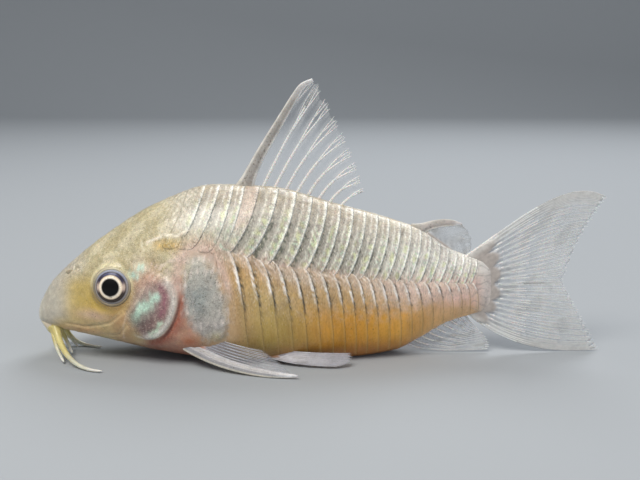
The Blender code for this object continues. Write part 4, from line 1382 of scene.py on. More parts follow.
            # A tan top with dark slits and pale ticks, and fine brown lines in the gold below.
            tan = ramp(0.46, 0.12, share + 0.06 * wave) * ramp(26.0, 32.0, at.x)
            paint.lay("#BDA68C", tan * (0.85 + 0.15 * small), 0.65)
            paint.lay("#E4C8BA", tan * ramp(41.0, 50.0, at.x) * (0.85 + 0.15 * small), 0.8)
            upper = ramp(0.4, 0.26, share + 0.04 * wave)
            # The dark slits are partly pigment and partly painted shade under the previous plate's edge.
            slit = ramp(0.2, 0.08, exposed + 0.06 * small) * upper * ramp(0.03, 0.08, share)
            paint.lay("#3B3A33", slit * ramp(-1.0, 0.1, small + 0.5 * wave), 0.95)
            tick = ramp(0.8, 0.88, ahead + 0.03 * wave) * ramp(0.27, 0.15, share + 0.03 * wave)
            paint.lay("#FFF8F0", tick * ramp(-1.0, -0.1, small), 0.95)
            paint.lay("#D9B573", ramp(0.8, 0.95, ahead) * ramp(0.2, 0.4, share), 0.3)
            lines = ramp(0.3, 1.0, ripple(exposed * 5.0, at.z * 0.25, 1.4, 60 + number))
            paint.lay("#8D5A24", lines * ramp(0.3, 0.5, share) * ramp(0.95, 0.7, share), 0.2)
            # Darker brown just behind the previous plate's edge: painted shade under its overhang.
            front = ramp(0.14, 0.04, exposed) * ramp(0.2, 0.4, share)
            paint.lay("#6E4A22", front * (0.6 + 0.4 * small), 0.22)
            top = ramp(0.16, 0.05, share)
            paint.lay("#CDB7A2", top * ramp(0.2, 0.6, exposed) * (0.7 + 0.3 * wave), 0.7)
            paint.lay("#F2E6DA", top * ramp(0.3, 0.9, small), 0.5)
            paint.lay("#77705F", top * ramp(0.4, 1.0, -small) * ramp(0.6, 0.2, exposed), 0.5)
        # Painted shade: the hidden underside of each plate is darker.
        paint.lay("#6F6858", under, 0.5)
        if number < self.from_head:
            skin = at.skin().colour
            own = 1.0 - ramp(0.66, 0.9, share) * ramp(5.5, 3.0, number) * (1.0 if self.row.above else 0.0)
            own = own * (ramp(0.35, 0.85, ahead) if number == 0 else 1.0)
            paint.colour = skin + (paint.colour - skin) * own[..., None]
        return paint.colour

    def marks(self, share: Array, ahead: Array) -> tuple[Array, Array]:
        """How granular the plate is, and how much dark pigment it has.

        Args:
            share: How far down the plate each place is.
            ahead: How far back.

        Returns:
            The grain and the fleck.
        """
        if self.row.above:
            return 0.6 + 0.2 * ramp(0.6, 0.9, ahead), 0.15 + 0.3 * ramp(0.4, 0.1, share)
        fleck = 0.08 + 0.1 * ramp(0.2, 0.4, share) * ramp(0.95, 0.5, share)
        return 0.12 + 0.4 * ramp(0.5, 0.1, share), fleck


UPPER_ROW = PlateRow(
    name="flank_plates_upper",
    above=True,
    count=24,
    edges=((-1, 20.6), (0, 22.5), (2, 26.2), (3, 27.6), (4, 29.5), (5, 32.0), (8, 38.3), (10, 41.7),
           (13, 46.4), (20, 55.3), (26, 60.4)),
    lean=-1.6,
    read_at=0.0,
    lean_power=2.7,
)
LOWER_ROW = PlateRow(
    name="flank_plates_lower",
    above=False,
    count=21,
    edges=((-1, 25.4), (0, 27.4), (1, 29.4), (3, 33.2), (6, 38.45), (10, 44.4), (14, 50.25), (18, 55.6),
           (22, 60.0)),
    lean=1.0,
    read_at=0.2,
    lean_power=4.0,
)


@dataclass
class Eye:
    """An eyeball: black pupil, gilt ring, violet and dark iris, and a grey ring at the cornea's edge."""

    side: Side
    around: int = 72
    down: int = 40
    rim_around: int = 96
    rim_sides: int = 12

    def build(self, material: Material) -> None:
        """Makes the eye.

        Args:
            material: Its finish.
        """
        centre, axis, backwards, up = HEAD.eye_frame(self.side)
        tilt = np.linspace(0.02, math.pi - 0.02, self.down)[:, None]
        turn = turns(self.around)[None, :]
        reach = HEAD.eye_radius * np.sin(tilt) * np.ones_like(turn)
        depth = HEAD.eye_half_depth * np.cos(tilt) * np.ones_like(turn)
        flat = (np.cos(turn)[..., None] * backwards + np.sin(turn)[..., None] * up) * reach[..., None]
        points = centre + flat + depth[..., None] * axis
        shown = np.where(depth > 0, reach, HEAD.eye_radius)
        paint = self.colours(shown, np.broadcast_to(np.sin(turn), shown.shape))
        piece = loft(f"eye_{self.side.word}_ball", points, paint)
        dress(piece, material, (f"eye_{self.side.word}",))

    def build_rim(self, material: Material) -> None:
        """Makes the thin rounded rim of skin that lies on the eyeball, all the way round.

        Args:
            material: Its finish.
        """
        centre, axis, backwards, up = HEAD.eye_frame(self.side)
        turn = turns(self.rim_around)[:, None, None]
        tube = turns(self.rim_sides)[None, :, None]
        reach = HEAD.eye_opening + 0.05 + 1.25 * HEAD.eye_rim * np.cos(tube)
        height = HEAD.ball_height(HEAD.eye_opening) + 0.02 + HEAD.eye_rim * np.sin(tube)
        points = centre + reach * (np.cos(turn) * backwards + np.sin(turn) * up) + height * axis
        high = np.broadcast_to(np.sin(turn)[..., 0], points.shape[:2])
        paint = Paint.ground(high.shape, "#948A76")
        paint.lay("#CFC7AC", ramp(0.0, 0.8, high), 0.8)
        paint.lay("#7E6D50", ramp(0.1, -0.7, high), 0.6)
        piece = loft(f"eye_{self.side.word}_rim", points, paint, closed=True, grain=0.1, fleck=0.1)
        dress(piece, material)

    @staticmethod
    def colours(reach: Array, upward: Array) -> Paint:
        """The eye's colours.

        Args:
            reach: The distance from the pupil's middle, in millimetres.
            upward: How far up a place lies, from -1 to 1.

        Returns:
            The paint.
        """
        paint = Paint.ground(reach.shape, "#7E7A78")
        paint.lay("#A9A3A2", bell(reach - 2.02, 0.16))
        paint.lay("#8C92A9", ramp(0.1, 0.7, upward) * ramp(1.8, 1.98, reach), 0.85)
        paint.lay("#C4C8D2", ramp(0.5, 0.95, upward) * bell(reach - 2.12, 0.1), 0.5)
        iris = ramp(1.95, 1.88, reach)
        paint.lay("#A58F8C", iris)
        paint.lay("#DCC5B2", iris * ramp(0.3, -0.2, np.abs(upward) - 0.2), 0.8)
        paint.lay("#2A2A44", iris * ramp(0.1, 0.5, upward) * ramp(1.38, 1.48, reach), 0.95)
        paint.lay("#6A719A", iris * ramp(0.7, 0.95, upward) * bell(reach - 1.78, 0.1), 0.7)
        paint.lay("#221B18", iris * ramp(-0.1, -0.5, upward) * ramp(1.4, 1.5, reach), 0.97)
        paint.lay("#8F827A", iris * ramp(-0.2, -0.6, upward) * bell(reach - 1.7, 0.06), 0.5)
        paint.lay("#1D191B", bell(reach - 1.93, 0.06), 0.9)
        paint.lay("#F8E6CA", ramp(1.52, 1.45, reach), 0.97)
        paint.lay("#FFFAF0", ramp(1.32, 1.2, reach), 0.9)
        paint.lay("#020203", ramp(1.14, 1.1, reach))
        paint.lay("#020203", ramp(1.3, 1.2, reach) * ramp(-0.975, -0.995, upward), 0.9)
        return paint


@dataclass
class Mouth:
    """The lips under the snout, and the small flap in front of each nostril."""

    # Levels of the mouth: height, where its front and rear are, and half its width.
    levels: tuple[tuple[float, float, float, float], ...] = (
        (5.6, 0.9, 5.4, 1.7),
        (5.0, 0.3, 4.9, 1.85),
        (4.6, 0.12, 4.4, 2.05),
        (4.2, 0.42, 3.6, 2.2),
        (3.7, 0.85, 3.15, 2.3),
        (3.2, 1.3, 2.95, 2.3),
        (2.9, 1.62, 2.8, 2.1),
        (2.74, 1.9, 2.6, 1.75),
    )
    down: int = 40
    around: int = 88
    flap_rings: int = 9
    flap_around: int = 14

    def build(self, material: Material) -> None:
        """Makes the fleshy mouth, with its opening on the underside, and the flaps.

        Args:
            material: Their finish.
        """
        knots, front, rear, half = np.array(self.levels)[::-1].T
        z = np.linspace(knots[-1], knots[0], self.down)[:, None]
        turn = turns(self.around)[None, :]
        start, end, wide = (smooth_through(knots, v, z) for v in (front, rear, half))
        low = ramp(3.5, 2.75, z)
        lip = 0.09 * bell(np.abs(np.sin(turn)) - 0.55, 0.5) * bell(z - 3.2, 0.35)
        x = (start + end) / 2 - (end - start) / 2 * np.cos(turn) * (1 + lip)
        y = wide * np.sign(np.sin(turn)) * np.abs(np.sin(turn)) ** 0.9
        x = x + 0.55 * low * (np.abs(y) / 2.2) ** 2
        crease = bell(x - 2.25 - 0.3 * (y / 2.2) ** 2, 0.12) * ramp(2.9, 2.76, z) * ramp(1.9, 1.5, np.abs(y))
        under = z + 0.25 * crease - 0.12 * low * ramp(1.2, 2.1, np.abs(y))
        points = np.stack(np.broadcast_arrays(x, y, under + 0.02 * ripple(x, y, 0.9, 71)), axis=-1)
        paint = Paint.ground(points.shape[:2], "#C3BCA4")
        paint.lay("#C8BAAC", bell(np.hypot(x - 1.4, z - 4.4), 0.8), 0.5)
        paint.lay("#CDC285", ramp(4.3, 3.2, z) * np.ones_like(x), 0.85)
        paint.lay("#D0C896", bell(x - start, 0.22) * ramp(4.7, 4.2, z), 0.6)
        paint.lay("#8F8450", bell(x - 2.6, 0.4) * bell(z - 3.6, 0.45), 0.45)
        # Painted shade in the crease of the mouth's opening.
        paint.lay("#5E5336", crease, 0.8)
        dress(loft("lips", points, paint, grain=0.12, fleck=0.08), material)
        for side in Side:
            self.flap(side, material)

    def flap(self, side: Side, material: Material) -> None:
        """Makes the upright flap of skin between a side's two nostril openings.

        Args:
            side: The side.
            material: Its finish.
        """
        angle = TORSO.angle_at(HEAD.flap_x, HEAD.flap_z) * side.value
        out = TORSO.outward(HEAD.flap_x, angle)
        root = TORSO.point(HEAD.flap_x, angle) - 0.15 * out
        along = unit(np.cross(out, (0.0, 1.0, 0.0)))
        thick = np.cross(out, along)
        height = np.linspace(0, 1, self.flap_rings)[:, None, None]
        turn = turns(self.flap_around)[None, :, None]
        wide, deep = 0.42 * np.sqrt(np.maximum(1 - height**3, 0.02)), 0.13 * (1.1 - height)
        middle = root + np.array((-0.2, 0.0, 0.0)) * height**2 + out * 0.55 * height
        points = middle + np.cos(turn) * wide * along + np.sin(turn) * deep * thick
        paint = Paint.ground(points.shape[:2], "#B5AC95")
        piece = loft(f"nostril_flap_{side.word}", points, paint, grain=0.2, fleck=0.2)
        dress(piece, material)


def tube_rings(path: Array, radii: Array, around: int, flatten: float = 1.0) -> Array:
    """Rings of points round a path.

    Args:
        path: The middle line.
        radii: Half the thickness at each of its points.
        around: How many points a ring has.
        flatten: The upright size of a section as a share of its width.

    Returns:
        An array of rings, kept above the floor.
    """
    along = unit(np.gradient(path, axis=0))
    aside = np.cross(along, (0.0, 0.0, 1.0))
    aside[np.linalg.norm(aside, axis=1) < 0.05] = (0.0, 1.0, 0.0)
    aside = unit(aside)
    up = np.cross(aside, along)
    turn = turns(around)
    ring = np.cos(turn)[None, :, None] * aside[:, None] + flatten * np.sin(turn)[None, :, None] * up[:, None]
    rings = path[:, None] + ring * np.asarray(radii)[:, None, None]
    rings[..., 2] = np.maximum(rings[..., 2], 0.0)
    return rings


@dataclass(frozen=True)
class Barbel:
    """A soft feeler that tapers from the corner of the mouth or the chin to the floor."""

    name: str
    bends: Arc
    thick: float
    tip: float = 0.13
    flare: float = 0.3
    rings: int = 60
    around: int = 16

    def build(self, side: Side, material: Material, stands_for: Sequence[str]) -> None:
        """Makes the feeler.

        Args:
            side: Its side. The bends are given for the left one.
            material: Its finish.
            stands_for: The node that it replaces.
        """
        t = np.linspace(0, 1, self.rings)
        path = bend(np.array(self.bends) * (1, -side.value, 1), t)
        radii = self.tip + (self.thick - self.tip) * (1 - t) ** 0.9 + self.flare * bell(t, 0.09)
        radii *= 1 + 0.04 * ripple(t * 12, t * 0, 1.5, len(self.name))
        radii[-3:] *= (0.9, 0.65, 0.25)
        path[:, 2] = np.maximum(path[:, 2], radii * 0.9)
        rings = tube_rings(path, radii, self.around)
        share = np.broadcast_to(t[:, None], rings.shape[:2])
        paint = Paint.ground(share.shape, "#BDAF6E")
        paint.lay("#D8CD8C", bell(share - 0.2, 0.16), 0.8)
        paint.lay("#C9C9B4", ramp(0.3, 0.6, share))
        paint.lay("#DAD9D2", ramp(0.6, 0.95, share))
        piece = loft(f"{self.name}_{side.word}", rings, paint, grain=0.1, fleck=0.16 * (1 - share))
        dress(piece, material, stands_for)


@dataclass
class RayTree:
    """A tree of geometry nodes that turns a fin's middle lines into jointed, tapering bony rays."""

    segment_mm: float = 0.42
    step_mm: float = 0.14
    joint_share: float = 0.34  # of a segment's length
    knuckle: float = 0.06
    flatness: float = 0.5
    sides: int = 7
    inputs: dict[str, str] = field(default_factory=dict)

    def build(self) -> Tree:
        """Makes the tree, with named inputs for its sizes.

        Returns:
            The tree.
        """
        tree = bpy.data.node_groups.new("jointed fin rays", "GeometryNodeTree")
        tree.interface.new_socket("Lines", in_out="INPUT", socket_type="NodeSocketGeometry")
        sizes = (
            ("Segment length", "NodeSocketFloat", self.segment_mm * MM),
            ("Step", "NodeSocketFloat", self.step_mm * MM),
            ("Joint share", "NodeSocketFloat", self.joint_share),
            ("Knuckle", "NodeSocketFloat", self.knuckle),
            ("Flatness", "NodeSocketFloat", self.flatness),
            ("Sides", "NodeSocketInt", self.sides),
        )
        for name, kind, value in sizes:
            socket = tree.interface.new_socket(name, in_out="INPUT", socket_type=kind)
            socket.default_value = value
            self.inputs[name] = socket.identifier
        finish = tree.interface.new_socket("Finish", in_out="INPUT", socket_type="NodeSocketMaterial")
        self.inputs["Finish"] = finish.identifier
        tree.interface.new_socket("Rays", in_out="OUTPUT", socket_type="NodeSocketGeometry")
        given = add(tree, "NodeGroupInput").node.outputs
        number = {"data_type": "FLOAT", "domain": "POINT"}
        vector = {"data_type": "FLOAT_VECTOR", "domain": "POINT"}

        # Even steps along each line, with a joint at the start of each segment.
        curves = add(tree, "GeometryNodeMeshToCurve", {"Mesh": given["Lines"]})
        inputs = {"Curve": curves, "Length": given["Step"]}
        even = add(tree, "GeometryNodeResampleCurve", inputs, mode="LENGTH")
        length = add(tree, "GeometryNodeSplineParameter", out="Length")
        segment = add(tree, "ShaderNodeMath", (length, given["Segment length"]), operation="DIVIDE")
        phase = add(tree, "ShaderNodeMath", (segment,), operation="FRACT")
        joint = add(tree, "ShaderNodeMath", (phase, given["Joint share"]), operation="LESS_THAN")
        inputs = {"Geometry": even, "Name": "joint", "Value": joint}
        marked = add(tree, "GeometryNodeStoreNamedAttribute", inputs, **number)
        here = add(tree, "GeometryNodeInputPosition")
        inputs = {"Geometry": marked, "Name": "middle", "Value": here}
        placed = add(tree, "GeometryNodeStoreNamedAttribute", inputs, **vector)

        # Round bars, thicker at the joints.
        swell = add(tree, "ShaderNodeMath", (joint, given["Knuckle"], 1.0), operation="MULTIPLY_ADD")
        thick = add(tree, "GeometryNodeInputNamedAttribute", {"Name": "thickness"}, data_type="FLOAT")
        radius = add(tree, "ShaderNodeMath", (thick, swell), operation="MULTIPLY")
        inputs = {"Resolution": given["Sides"], "Radius": 1.0}
        section = add(tree, "GeometryNodeCurvePrimitiveCircle", inputs, mode="RADIUS")
        inputs = {"Curve": placed, "Profile Curve": section, "Scale": radius, "Fill Caps": True}
        bars = add(tree, "GeometryNodeCurveToMesh", inputs)

        # The bars pressed flat towards the fin's sheet.
        middle, facing = (
            add(tree, "GeometryNodeInputNamedAttribute", {"Name": name}, data_type="FLOAT_VECTOR")
            for name in ("middle", "facing")
        )
        out = add(tree, "ShaderNodeVectorMath", (here, middle), operation="SUBTRACT")
        lift = add(tree, "ShaderNodeVectorMath", (out, facing), "Value", operation="DOT_PRODUCT")
        less = add(tree, "ShaderNodeMath", (given["Flatness"], 1.0), operation="SUBTRACT")
        press = add(tree, "ShaderNodeMath", (lift, less), operation="MULTIPLY")
        shift = add(tree, "ShaderNodeVectorMath", {0: facing, "Scale": press}, operation="SCALE")
        flat = add(tree, "GeometryNodeSetPosition", {"Geometry": bars, "Offset": shift})
        real = add(tree, "GeometryNodeRealizeInstances", {"Geometry": flat})
        smooth = add(tree, "GeometryNodeSetShadeSmooth", {"Geometry": real})
        inputs = {"Geometry": smooth, "Material": given["Finish"]}
        add(tree, "NodeGroupOutput", (add(tree, "GeometryNodeSetMaterial", inputs),))
        return tree


def from_lines(
    name: str,
    points: Array,
    edges: list[tuple[int, int]],
    thickness: Array,
    facing: Array,
    tree: Tree,
    settings: dict[str, object],
) -> Piece:
    """Runs a geometry node tree on a mesh of lines, and keeps what it makes as a plain mesh.

    Args:
        name: The piece's name.
        points: The lines' points in millimetres.
        edges: The lines.
        thickness: Half the width of a ray at each point, in millimetres.
        facing: The direction out of the fin's sheet at each point.
        tree: The tree.
        settings: The modifier's inputs, by identifier.

    Returns:
        The piece.
    """
    mesh = bpy.data.meshes.new(name)
    mesh.from_pydata(put(points).tolist(), edges, [])
    layer = mesh.attributes.new(name="thickness", type="FLOAT", domain="POINT")
    layer.data.foreach_set("value", np.asarray(thickness, np.float32) * MM)
    layer = mesh.attributes.new(name="facing", type="FLOAT_VECTOR", domain="POINT")
    layer.data.foreach_set("vector", np.ascontiguousarray(facing, np.float32).ravel())
    piece = bpy.data.objects.new(name, mesh)
    bpy.context.scene.collection.objects.link(piece)
    modifier = piece.modifiers.new("rays", "NODES")
    modifier.node_group = tree
    for identifier, value in settings.items():
        modifier[identifier] = value
    bpy.context.view_layer.update()
    graph = bpy.context.evaluated_depsgraph_get()
    made = bpy.data.meshes.new_from_object(piece.evaluated_get(graph))
    piece.modifiers.clear()
    piece.data = made
    made.name = name
    return piece


@dataclass(frozen=True)
class Sail:
    """A curved sheet of fin. Each arc runs across the fin: the first along the roots, the last
    along the free edge, and those between bend the rays.

    Places across the fin are told by a ray's number, and places between rays by a fraction.
    """

    arcs: tuple[Arc, ...]
    rays: int
    root_mm: float = 0.2
    tip_mm: float = 0.06
    forks: tuple[float, ...] = (0.6, 0.84)
    spread: float = 1.0  # how far branches part, where 1 spaces them evenly
    crowd: float = 0.0  # how much closer the rays stand at the first edge, or below 0 at the last
    scallop: float = 0.05
    sway: float = 0.15
    tint: str = "#B9BEC4"
    streaks: str = "#EEEFEE"
    veil: float = 0.2  # how opaque the membrane is
    pad: float = 0.0  # the share of its length along which the root is thick, opaque flesh
    pad_mm: float = 0.5
    band: float = 0.0  # how many rays the opaque band at the crowded edge takes in
    hem: float = 0.0  # how much more opaque the free edge is
    pad_tint: str = "#AEA49C"
    line_points: int = 14  # of each stretch of a ray

    def at(self, number: Array, along: Array) -> Array:
        """Points of the sheet.

        Args:
            number: The ray, from 0.
            along: From the roots, 0, to the free edge, 1.

        Returns:
            The points.
        """
        number, along = np.broadcast_arrays(np.asarray(number, float), np.asarray(along, float))
        share = np.clip(number / (self.rays - 1), 0.0, 1.0)
        across = share ** (1 + self.crowd) if self.crowd >= 0 else 1 - (1 - share) ** (1 - self.crowd)
        rows = [bend([np.broadcast_to(p, (*across.shape, 3)) for p in arc], across) for arc in self.arcs]
        points = bend(rows, along)
        points[..., 1] += self.sway * along**2 * np.sin(0.45 * points[..., 2] + 0.2 * points[..., 0])
        points[..., 2] = np.maximum(points[..., 2], 0.03)
        return points

    def facing(self, number: Array, along: Array) -> Array:
        """The direction out of the sheet.

        Args:
            number: The ray, from 0.
            along: From the roots, 0, to the free edge, 1.

        Returns:
            Directions of length 1.
        """
        step = 0.02
        aside = self.at(number + step, along) - self.at(number - step, along)
        ahead = self.at(number, along + step) - self.at(number, along - step)
        return unit(np.cross(aside, ahead))

    def cover(self, number: Array, along: Array) -> tuple[Array, Array]:
        """The membrane's looks, with streaks that fork as the rays do.

        Args:
            number: The ray, from 0.
            along: From the roots, 0, to the free edge, 1.

        Returns:
            Its colour and how opaque it is.
        """
        streak = np.abs(np.cos(math.pi * number)) ** 2.5
        for level, fork in enumerate(self.forks, 1):
            finer = np.abs(np.sin(2**level * math.pi * number)) ** 2.5
            streak = streak + (finer - streak) * ramp(fork, fork + 0.14, along)
        cloud = ripple(number, along * 9, 2.6, self.rays)
        paint = Paint.ground(np.shape(number + along), self.tint)
        paint.lay(self.streaks, streak * (0.7 + 0.3 * cloud))
        dusk = ramp(0.25, 0.9, cloud) * ramp(0.1, 0.3, along)
        paint.lay("#77736C", dusk, 0.8 * self.veil)
        opaque = self.veil * (0.45 + 0.9 * streak + 0.08 * dusk) + self.hem * ramp(0.9, 0.97, along)
        if self.pad:
            flesh = self.flesh(number, along)
            paint.lay(self.pad_tint, flesh, 0.9)
            opaque = opaque + flesh + 0.45 * ramp(0.6, 0.1, along)
        if self.band:
            count = number if self.crowd > 0 else self.rays - 1 - number
            edge = ramp(self.band, 0.3 * self.band, count)
            paint.lay("#D9D7D2", edge, 0.6)
            opaque = opaque + 0.5 * edge * (1 - 0.5 * along)
        return paint.colour, np.clip(opaque, 0.04, 1.0)

    def flesh(self, number: Array, along: Array) -> Array:
        """1 on the fleshy pad over the roots, in scallops as wide as a few rays, and 0 beyond it."""
        reach = self.pad * (0.8 + 0.3 * np.abs(np.sin(math.pi * number / 3.6)))
        return ramp(reach + 0.02, reach - 0.02, along)

    def sheet(self, half_thickness: float, per_ray: int, rows: int) -> tuple[Array, list, Array, Array]:
        """The membrane as a closed thin solid, ragged at its free edge.

        Args:
            half_thickness: Half its thickness.
            per_ray: Columns from ray to ray.
            rows: Points from root to edge.

        Returns:
            Its points and faces, and the colour and opacity of each point.
        """
        columns = (self.rays - 1) * per_ray + 1
        number = np.linspace(0, self.rays - 1, columns)[:, None]
        between_rays = np.abs(np.sin(math.pi * number))
        torn = 0.012 * (1 + ripple(number * 6, number * 0, 2.3, self.rays))
        ragged = self.scallop * between_rays**0.8 + torn
        along = np.linspace(0, 1, rows)[None, :] * (1 - ragged)
        number = np.broadcast_to(number, along.shape)
        grid, normal = self.at(number, along), self.facing(number, along)
        thin = half_thickness * (1 - 0.6 * along**2)
        if self.pad:
            thin = thin + self.pad_mm * self.flesh(number, along) * (1 - 0.5 * along / self.pad)
        front, back = grid + normal * thin[..., None], grid - normal * thin[..., None]
        count = columns * rows
        faces: Faces = []
        for c in range(columns - 1):
            for r in range(rows - 1):
                a, b = c * rows + r, (c + 1) * rows + r
                faces.append((a, b, b + 1, a + 1))
                faces.append((count + a, count + a + 1, count + b + 1, count + b))
        rim = [c * rows for c in range(columns)] + [(columns - 1) * rows + r for r in range(1, rows)]
        rim += [c * rows + rows - 1 for c in range(columns - 2, -1, -1)] + list(range(rows - 2, 0, -1))
        for a, b in zip(rim, rim[1:] + rim[:1]):
            faces.append((a, count + a, count + b, b))
        colour, opaque = self.cover(number, along)
        points = np.concatenate([front.reshape(-1, 3), back.reshape(-1, 3)])
        return points, faces, np.tile(colour.reshape(-1, 4), (2, 1)), np.tile(opaque.reshape(-1), 2)

    def spans(self) -> list[tuple[float, float, float, float, int]]:
        """The stretches of a ray between its forks.

        Returns:
            For each: its start and end, its places across there, and how many forks come before it.
        """
        ends = (*self.forks, 1.0)
        spans = [(0.0, ends[0], 0.0, 0.0, 0)]
        tips = [0.0]
        for level, (start, end) in enumerate(zip(ends, ends[1:]), 1):
            part = self.spread * 0.5 ** (level + 1)
            parted = [(tip, tip + sign * part) for tip in tips for sign in (-1, 1)]
            spans += [(start, end, tip, to, level) for tip, to in parted]
            tips = [to for _, to in parted]
        return spans

    def lines(self) -> tuple[Array, list[tuple[int, int]], Array, Array]:
        """The middle lines of the rays, with their forks.

        Returns:
            Points, the edges between them, half the width at each point, and the way out of the sheet.
        """
        points: list[Array] = []
        edges: list[tuple[int, int]] = []
        widths: list[Array] = []
        facing: list[Array] = []
        total = 0
        for ray in range(self.rays):
            for start, end, off, to, level in self.spans():
                last = end - (0.05 * abs(math.sin(3.1 * ray + 9.7 * to)) if end == 1.0 else 0.0)
                t = np.linspace(start, last, self.line_points)
                share = (t - start) / (end - start)
                shifted = t + 0.09 * math.sin(2.7 * ray) * t * (1 - t)
                number = np.clip(ray + off + (to - off) * share**0.8, 0.0, self.rays - 1.0)
                points.append(self.at(number, shifted))
                facing.append(self.facing(number, shifted))
                edges += [(total + i, total + i + 1) for i in range(len(t) - 1)]
                total += len(t)
                width = self.root_mm + (self.tip_mm - self.root_mm) * t
                widths.append(0.74**level * width * (1 - 0.6 * t**12))
        return np.concatenate(points), edges, np.concatenate(widths), np.concatenate(facing)


@dataclass(frozen=True)
class Spine:
    """A stiff, flattened spine at a fin's front edge, with a groove along each side."""

    bends: Arc
    widths: tuple[float, ...]
    depths: tuple[float, ...]
    behind: Point
    bone: str = "#B9B2AC"
    front_edge: str = "#D9D3C8"
    rear_edge: str = "#C9C6C2"
    root: str = "#A9A294"
    dark: float = 0.45
    around: int = 26
    rings: int = 90

    def build(self, name: str, mirror: int, material: Material) -> None:
        """Makes the spine.

        Args:
            name: The piece's name.
            mirror: The sign that y is given with.
            material: Its finish.
        """
        t = np.linspace(0, 1, self.rings)
        controls = np.array(self.bends) * (1, mirror, 1)
        if len(controls) > 3:  # the path runs through them, where three only pull it
            reached = np.append(0, np.cumsum(np.linalg.norm(np.diff(controls, axis=0), axis=1)))
            path = np.stack([smooth_through(reached, axis, reached[-1] * t) for axis in controls.T], axis=1)
        else:
            path = bend(controls, t)
        behind = np.array(self.behind) * (1, mirror, 1)
        along = unit(np.gradient(path, axis=0))
        across = unit(behind - (along @ behind)[:, None] * along)
        out = np.cross(along, across)
        wide = smooth_through(np.linspace(0, 1, len(self.widths)), self.widths, t) / 2
        deep = smooth_through(np.linspace(0, 1, len(self.depths)), self.depths, t) / 2
        turn = turns(self.around)
        groove = 1 - 0.28 * bell(np.cos(turn) - 0.35, 0.16)
        rings = (
            path[:, None]
            + across[:, None] * (wide[:, None] * np.cos(turn))[..., None]
            + out[:, None] * (deep[:, None] * np.sin(turn) * groove)[..., None]
        )
        rings[..., 2] = np.maximum(rings[..., 2], 0.0)
        place, share = np.broadcast_arrays(np.cos(turn)[None, :], t[:, None])
        paint = Paint.ground(share.shape, self.bone)
        paint.lay(self.front_edge, ramp(-0.55, -0.85, place), 0.9)
        paint.lay(self.rear_edge, ramp(0.55, 0.85, place), 0.9)
        # Painted shade in the groove along each side.
        paint.lay("#8F8780", bell(place - 0.35, 0.16), 0.5)
        paint.lay("#D8DADD", ramp(0.75, 1.0, share), 0.6)
        paint.lay(self.root, ramp(0.17, 0.03, share), 0.85)
        fleck = self.dark * ramp(1.0, 0.5, share) * ramp(0.9, 0.5, np.abs(place - 0.1))
        dress(loft(name, rings, paint, grain=0.3, fleck=fleck), material)


@dataclass
class Fin:
    """A fin: its clear membrane, its rays and, on some, its spine."""

    name: str
    stands_for: tuple[str, ...]
    sails: tuple[Sail, ...]
    half_thickness: float = 0.05
    per_ray: int = 12
    rows: int = 40
    soft: bool = False  # whether its rays are soft and grey
    spine: Spine | None = None

    def build(self, mirror: int, rays: RayTree, tree: Tree, finishes: "Finishes") -> None:
        """Makes the fin.

        Args:
            mirror: The sign that y is given with: 1 for the left side and the middle, -1 for the right.
            rays: The sizes and input names of the ray tree.
            tree: The ray tree.
            finishes: The finishes that fins share.
        """
        flip = np.array((1, mirror, 1))
        sheets = [sail.sheet(self.half_thickness, self.per_ray, self.rows) for sail in self.sails]
        points, faces, colours, veils = zip(*sheets)
        starts = np.cumsum([0, *map(len, points)]).tolist()
        membrane = make_piece(
            f"{self.name}_membrane",
            np.concatenate(points) * flip,
            [tuple(start + i for i in face) for start, part in zip(starts, faces) for face in part],
            np.concatenate(colours),
            {"veil": np.concatenate(veils)},
        )
        dress(membrane, finishes.membrane, self.stands_for)
        points, edges, widths, facing = zip(*(sail.lines() for sail in self.sails))
        starts = np.cumsum([0, *map(len, points)]).tolist()
        finish = finishes.soft_ray if self.soft else finishes.ray
        bars = from_lines(
            f"{self.name}_rays",
            np.concatenate(points) * flip,
            [(start + a, start + b) for start, part in zip(starts, edges) for a, b in part],
            np.concatenate(widths),
            np.concatenate(facing) * flip,
            tree,
            {rays.inputs["Finish"]: finish, rays.inputs["Sides"]: rays.sides},
        )
        dress(bars, finish)
        if self.spine:
            self.spine.build(f"{self.name}_spine", mirror, finishes.spine)


class Finishes:
    """Every finish of the fish, made once."""

    def __init__(self) -> None:
        """Makes them."""
        pearly = {"roughness": 0.33, "upright": 0.4, "sparkle": 0.82, "contrast": 0.44}
        self.skin = SkinFinish("moist granular catfish skin").build()
        self.plates = SkinFinish("pearly skin over bony plates", coat=0.3, **pearly).build()
        soft = {"roughness": 0.4, "coat": 0.3, "bump_mm": 0.01}
        self.feeler = SkinFinish("soft feeler skin", grain_mm=0.3, **soft).build()
        bony = {"roughness": 0.36, "coat": 0.3, "bump_mm": 0.02}
        self.spine = SkinFinish("skin over spine bone", grain_mm=0.22, fleck_mm=0.3, **bony).build()
        self.ray = RayFinish("ivory ray bone").build()
        self.soft_ray = RayFinish("soft grey ray", bone="#BDBDC3", joint="#A6A6AE").build()
        self.eye = EyeFinish().build()
        self.membrane = MembraneFinish().build()


DORSAL_SAIL = Sail(
    arcs=(
        ((29.7, 0, 22.0), (34.9, 0, 21.4), (39.8, 0, 19.5)),
        ((33.1, 0, 29.2), (37.0, 0, 25.3), (40.9, 0, 21.3)),
        ((37.2, 0, 35.7), (41.9, 0, 27.2), (43.1, 0, 21.8)),
    ),
    rays=8, root_mm=0.2, tip_mm=0.13, forks=(0.5, 0.78, 0.9), spread=0.62, veil=0.15,
)
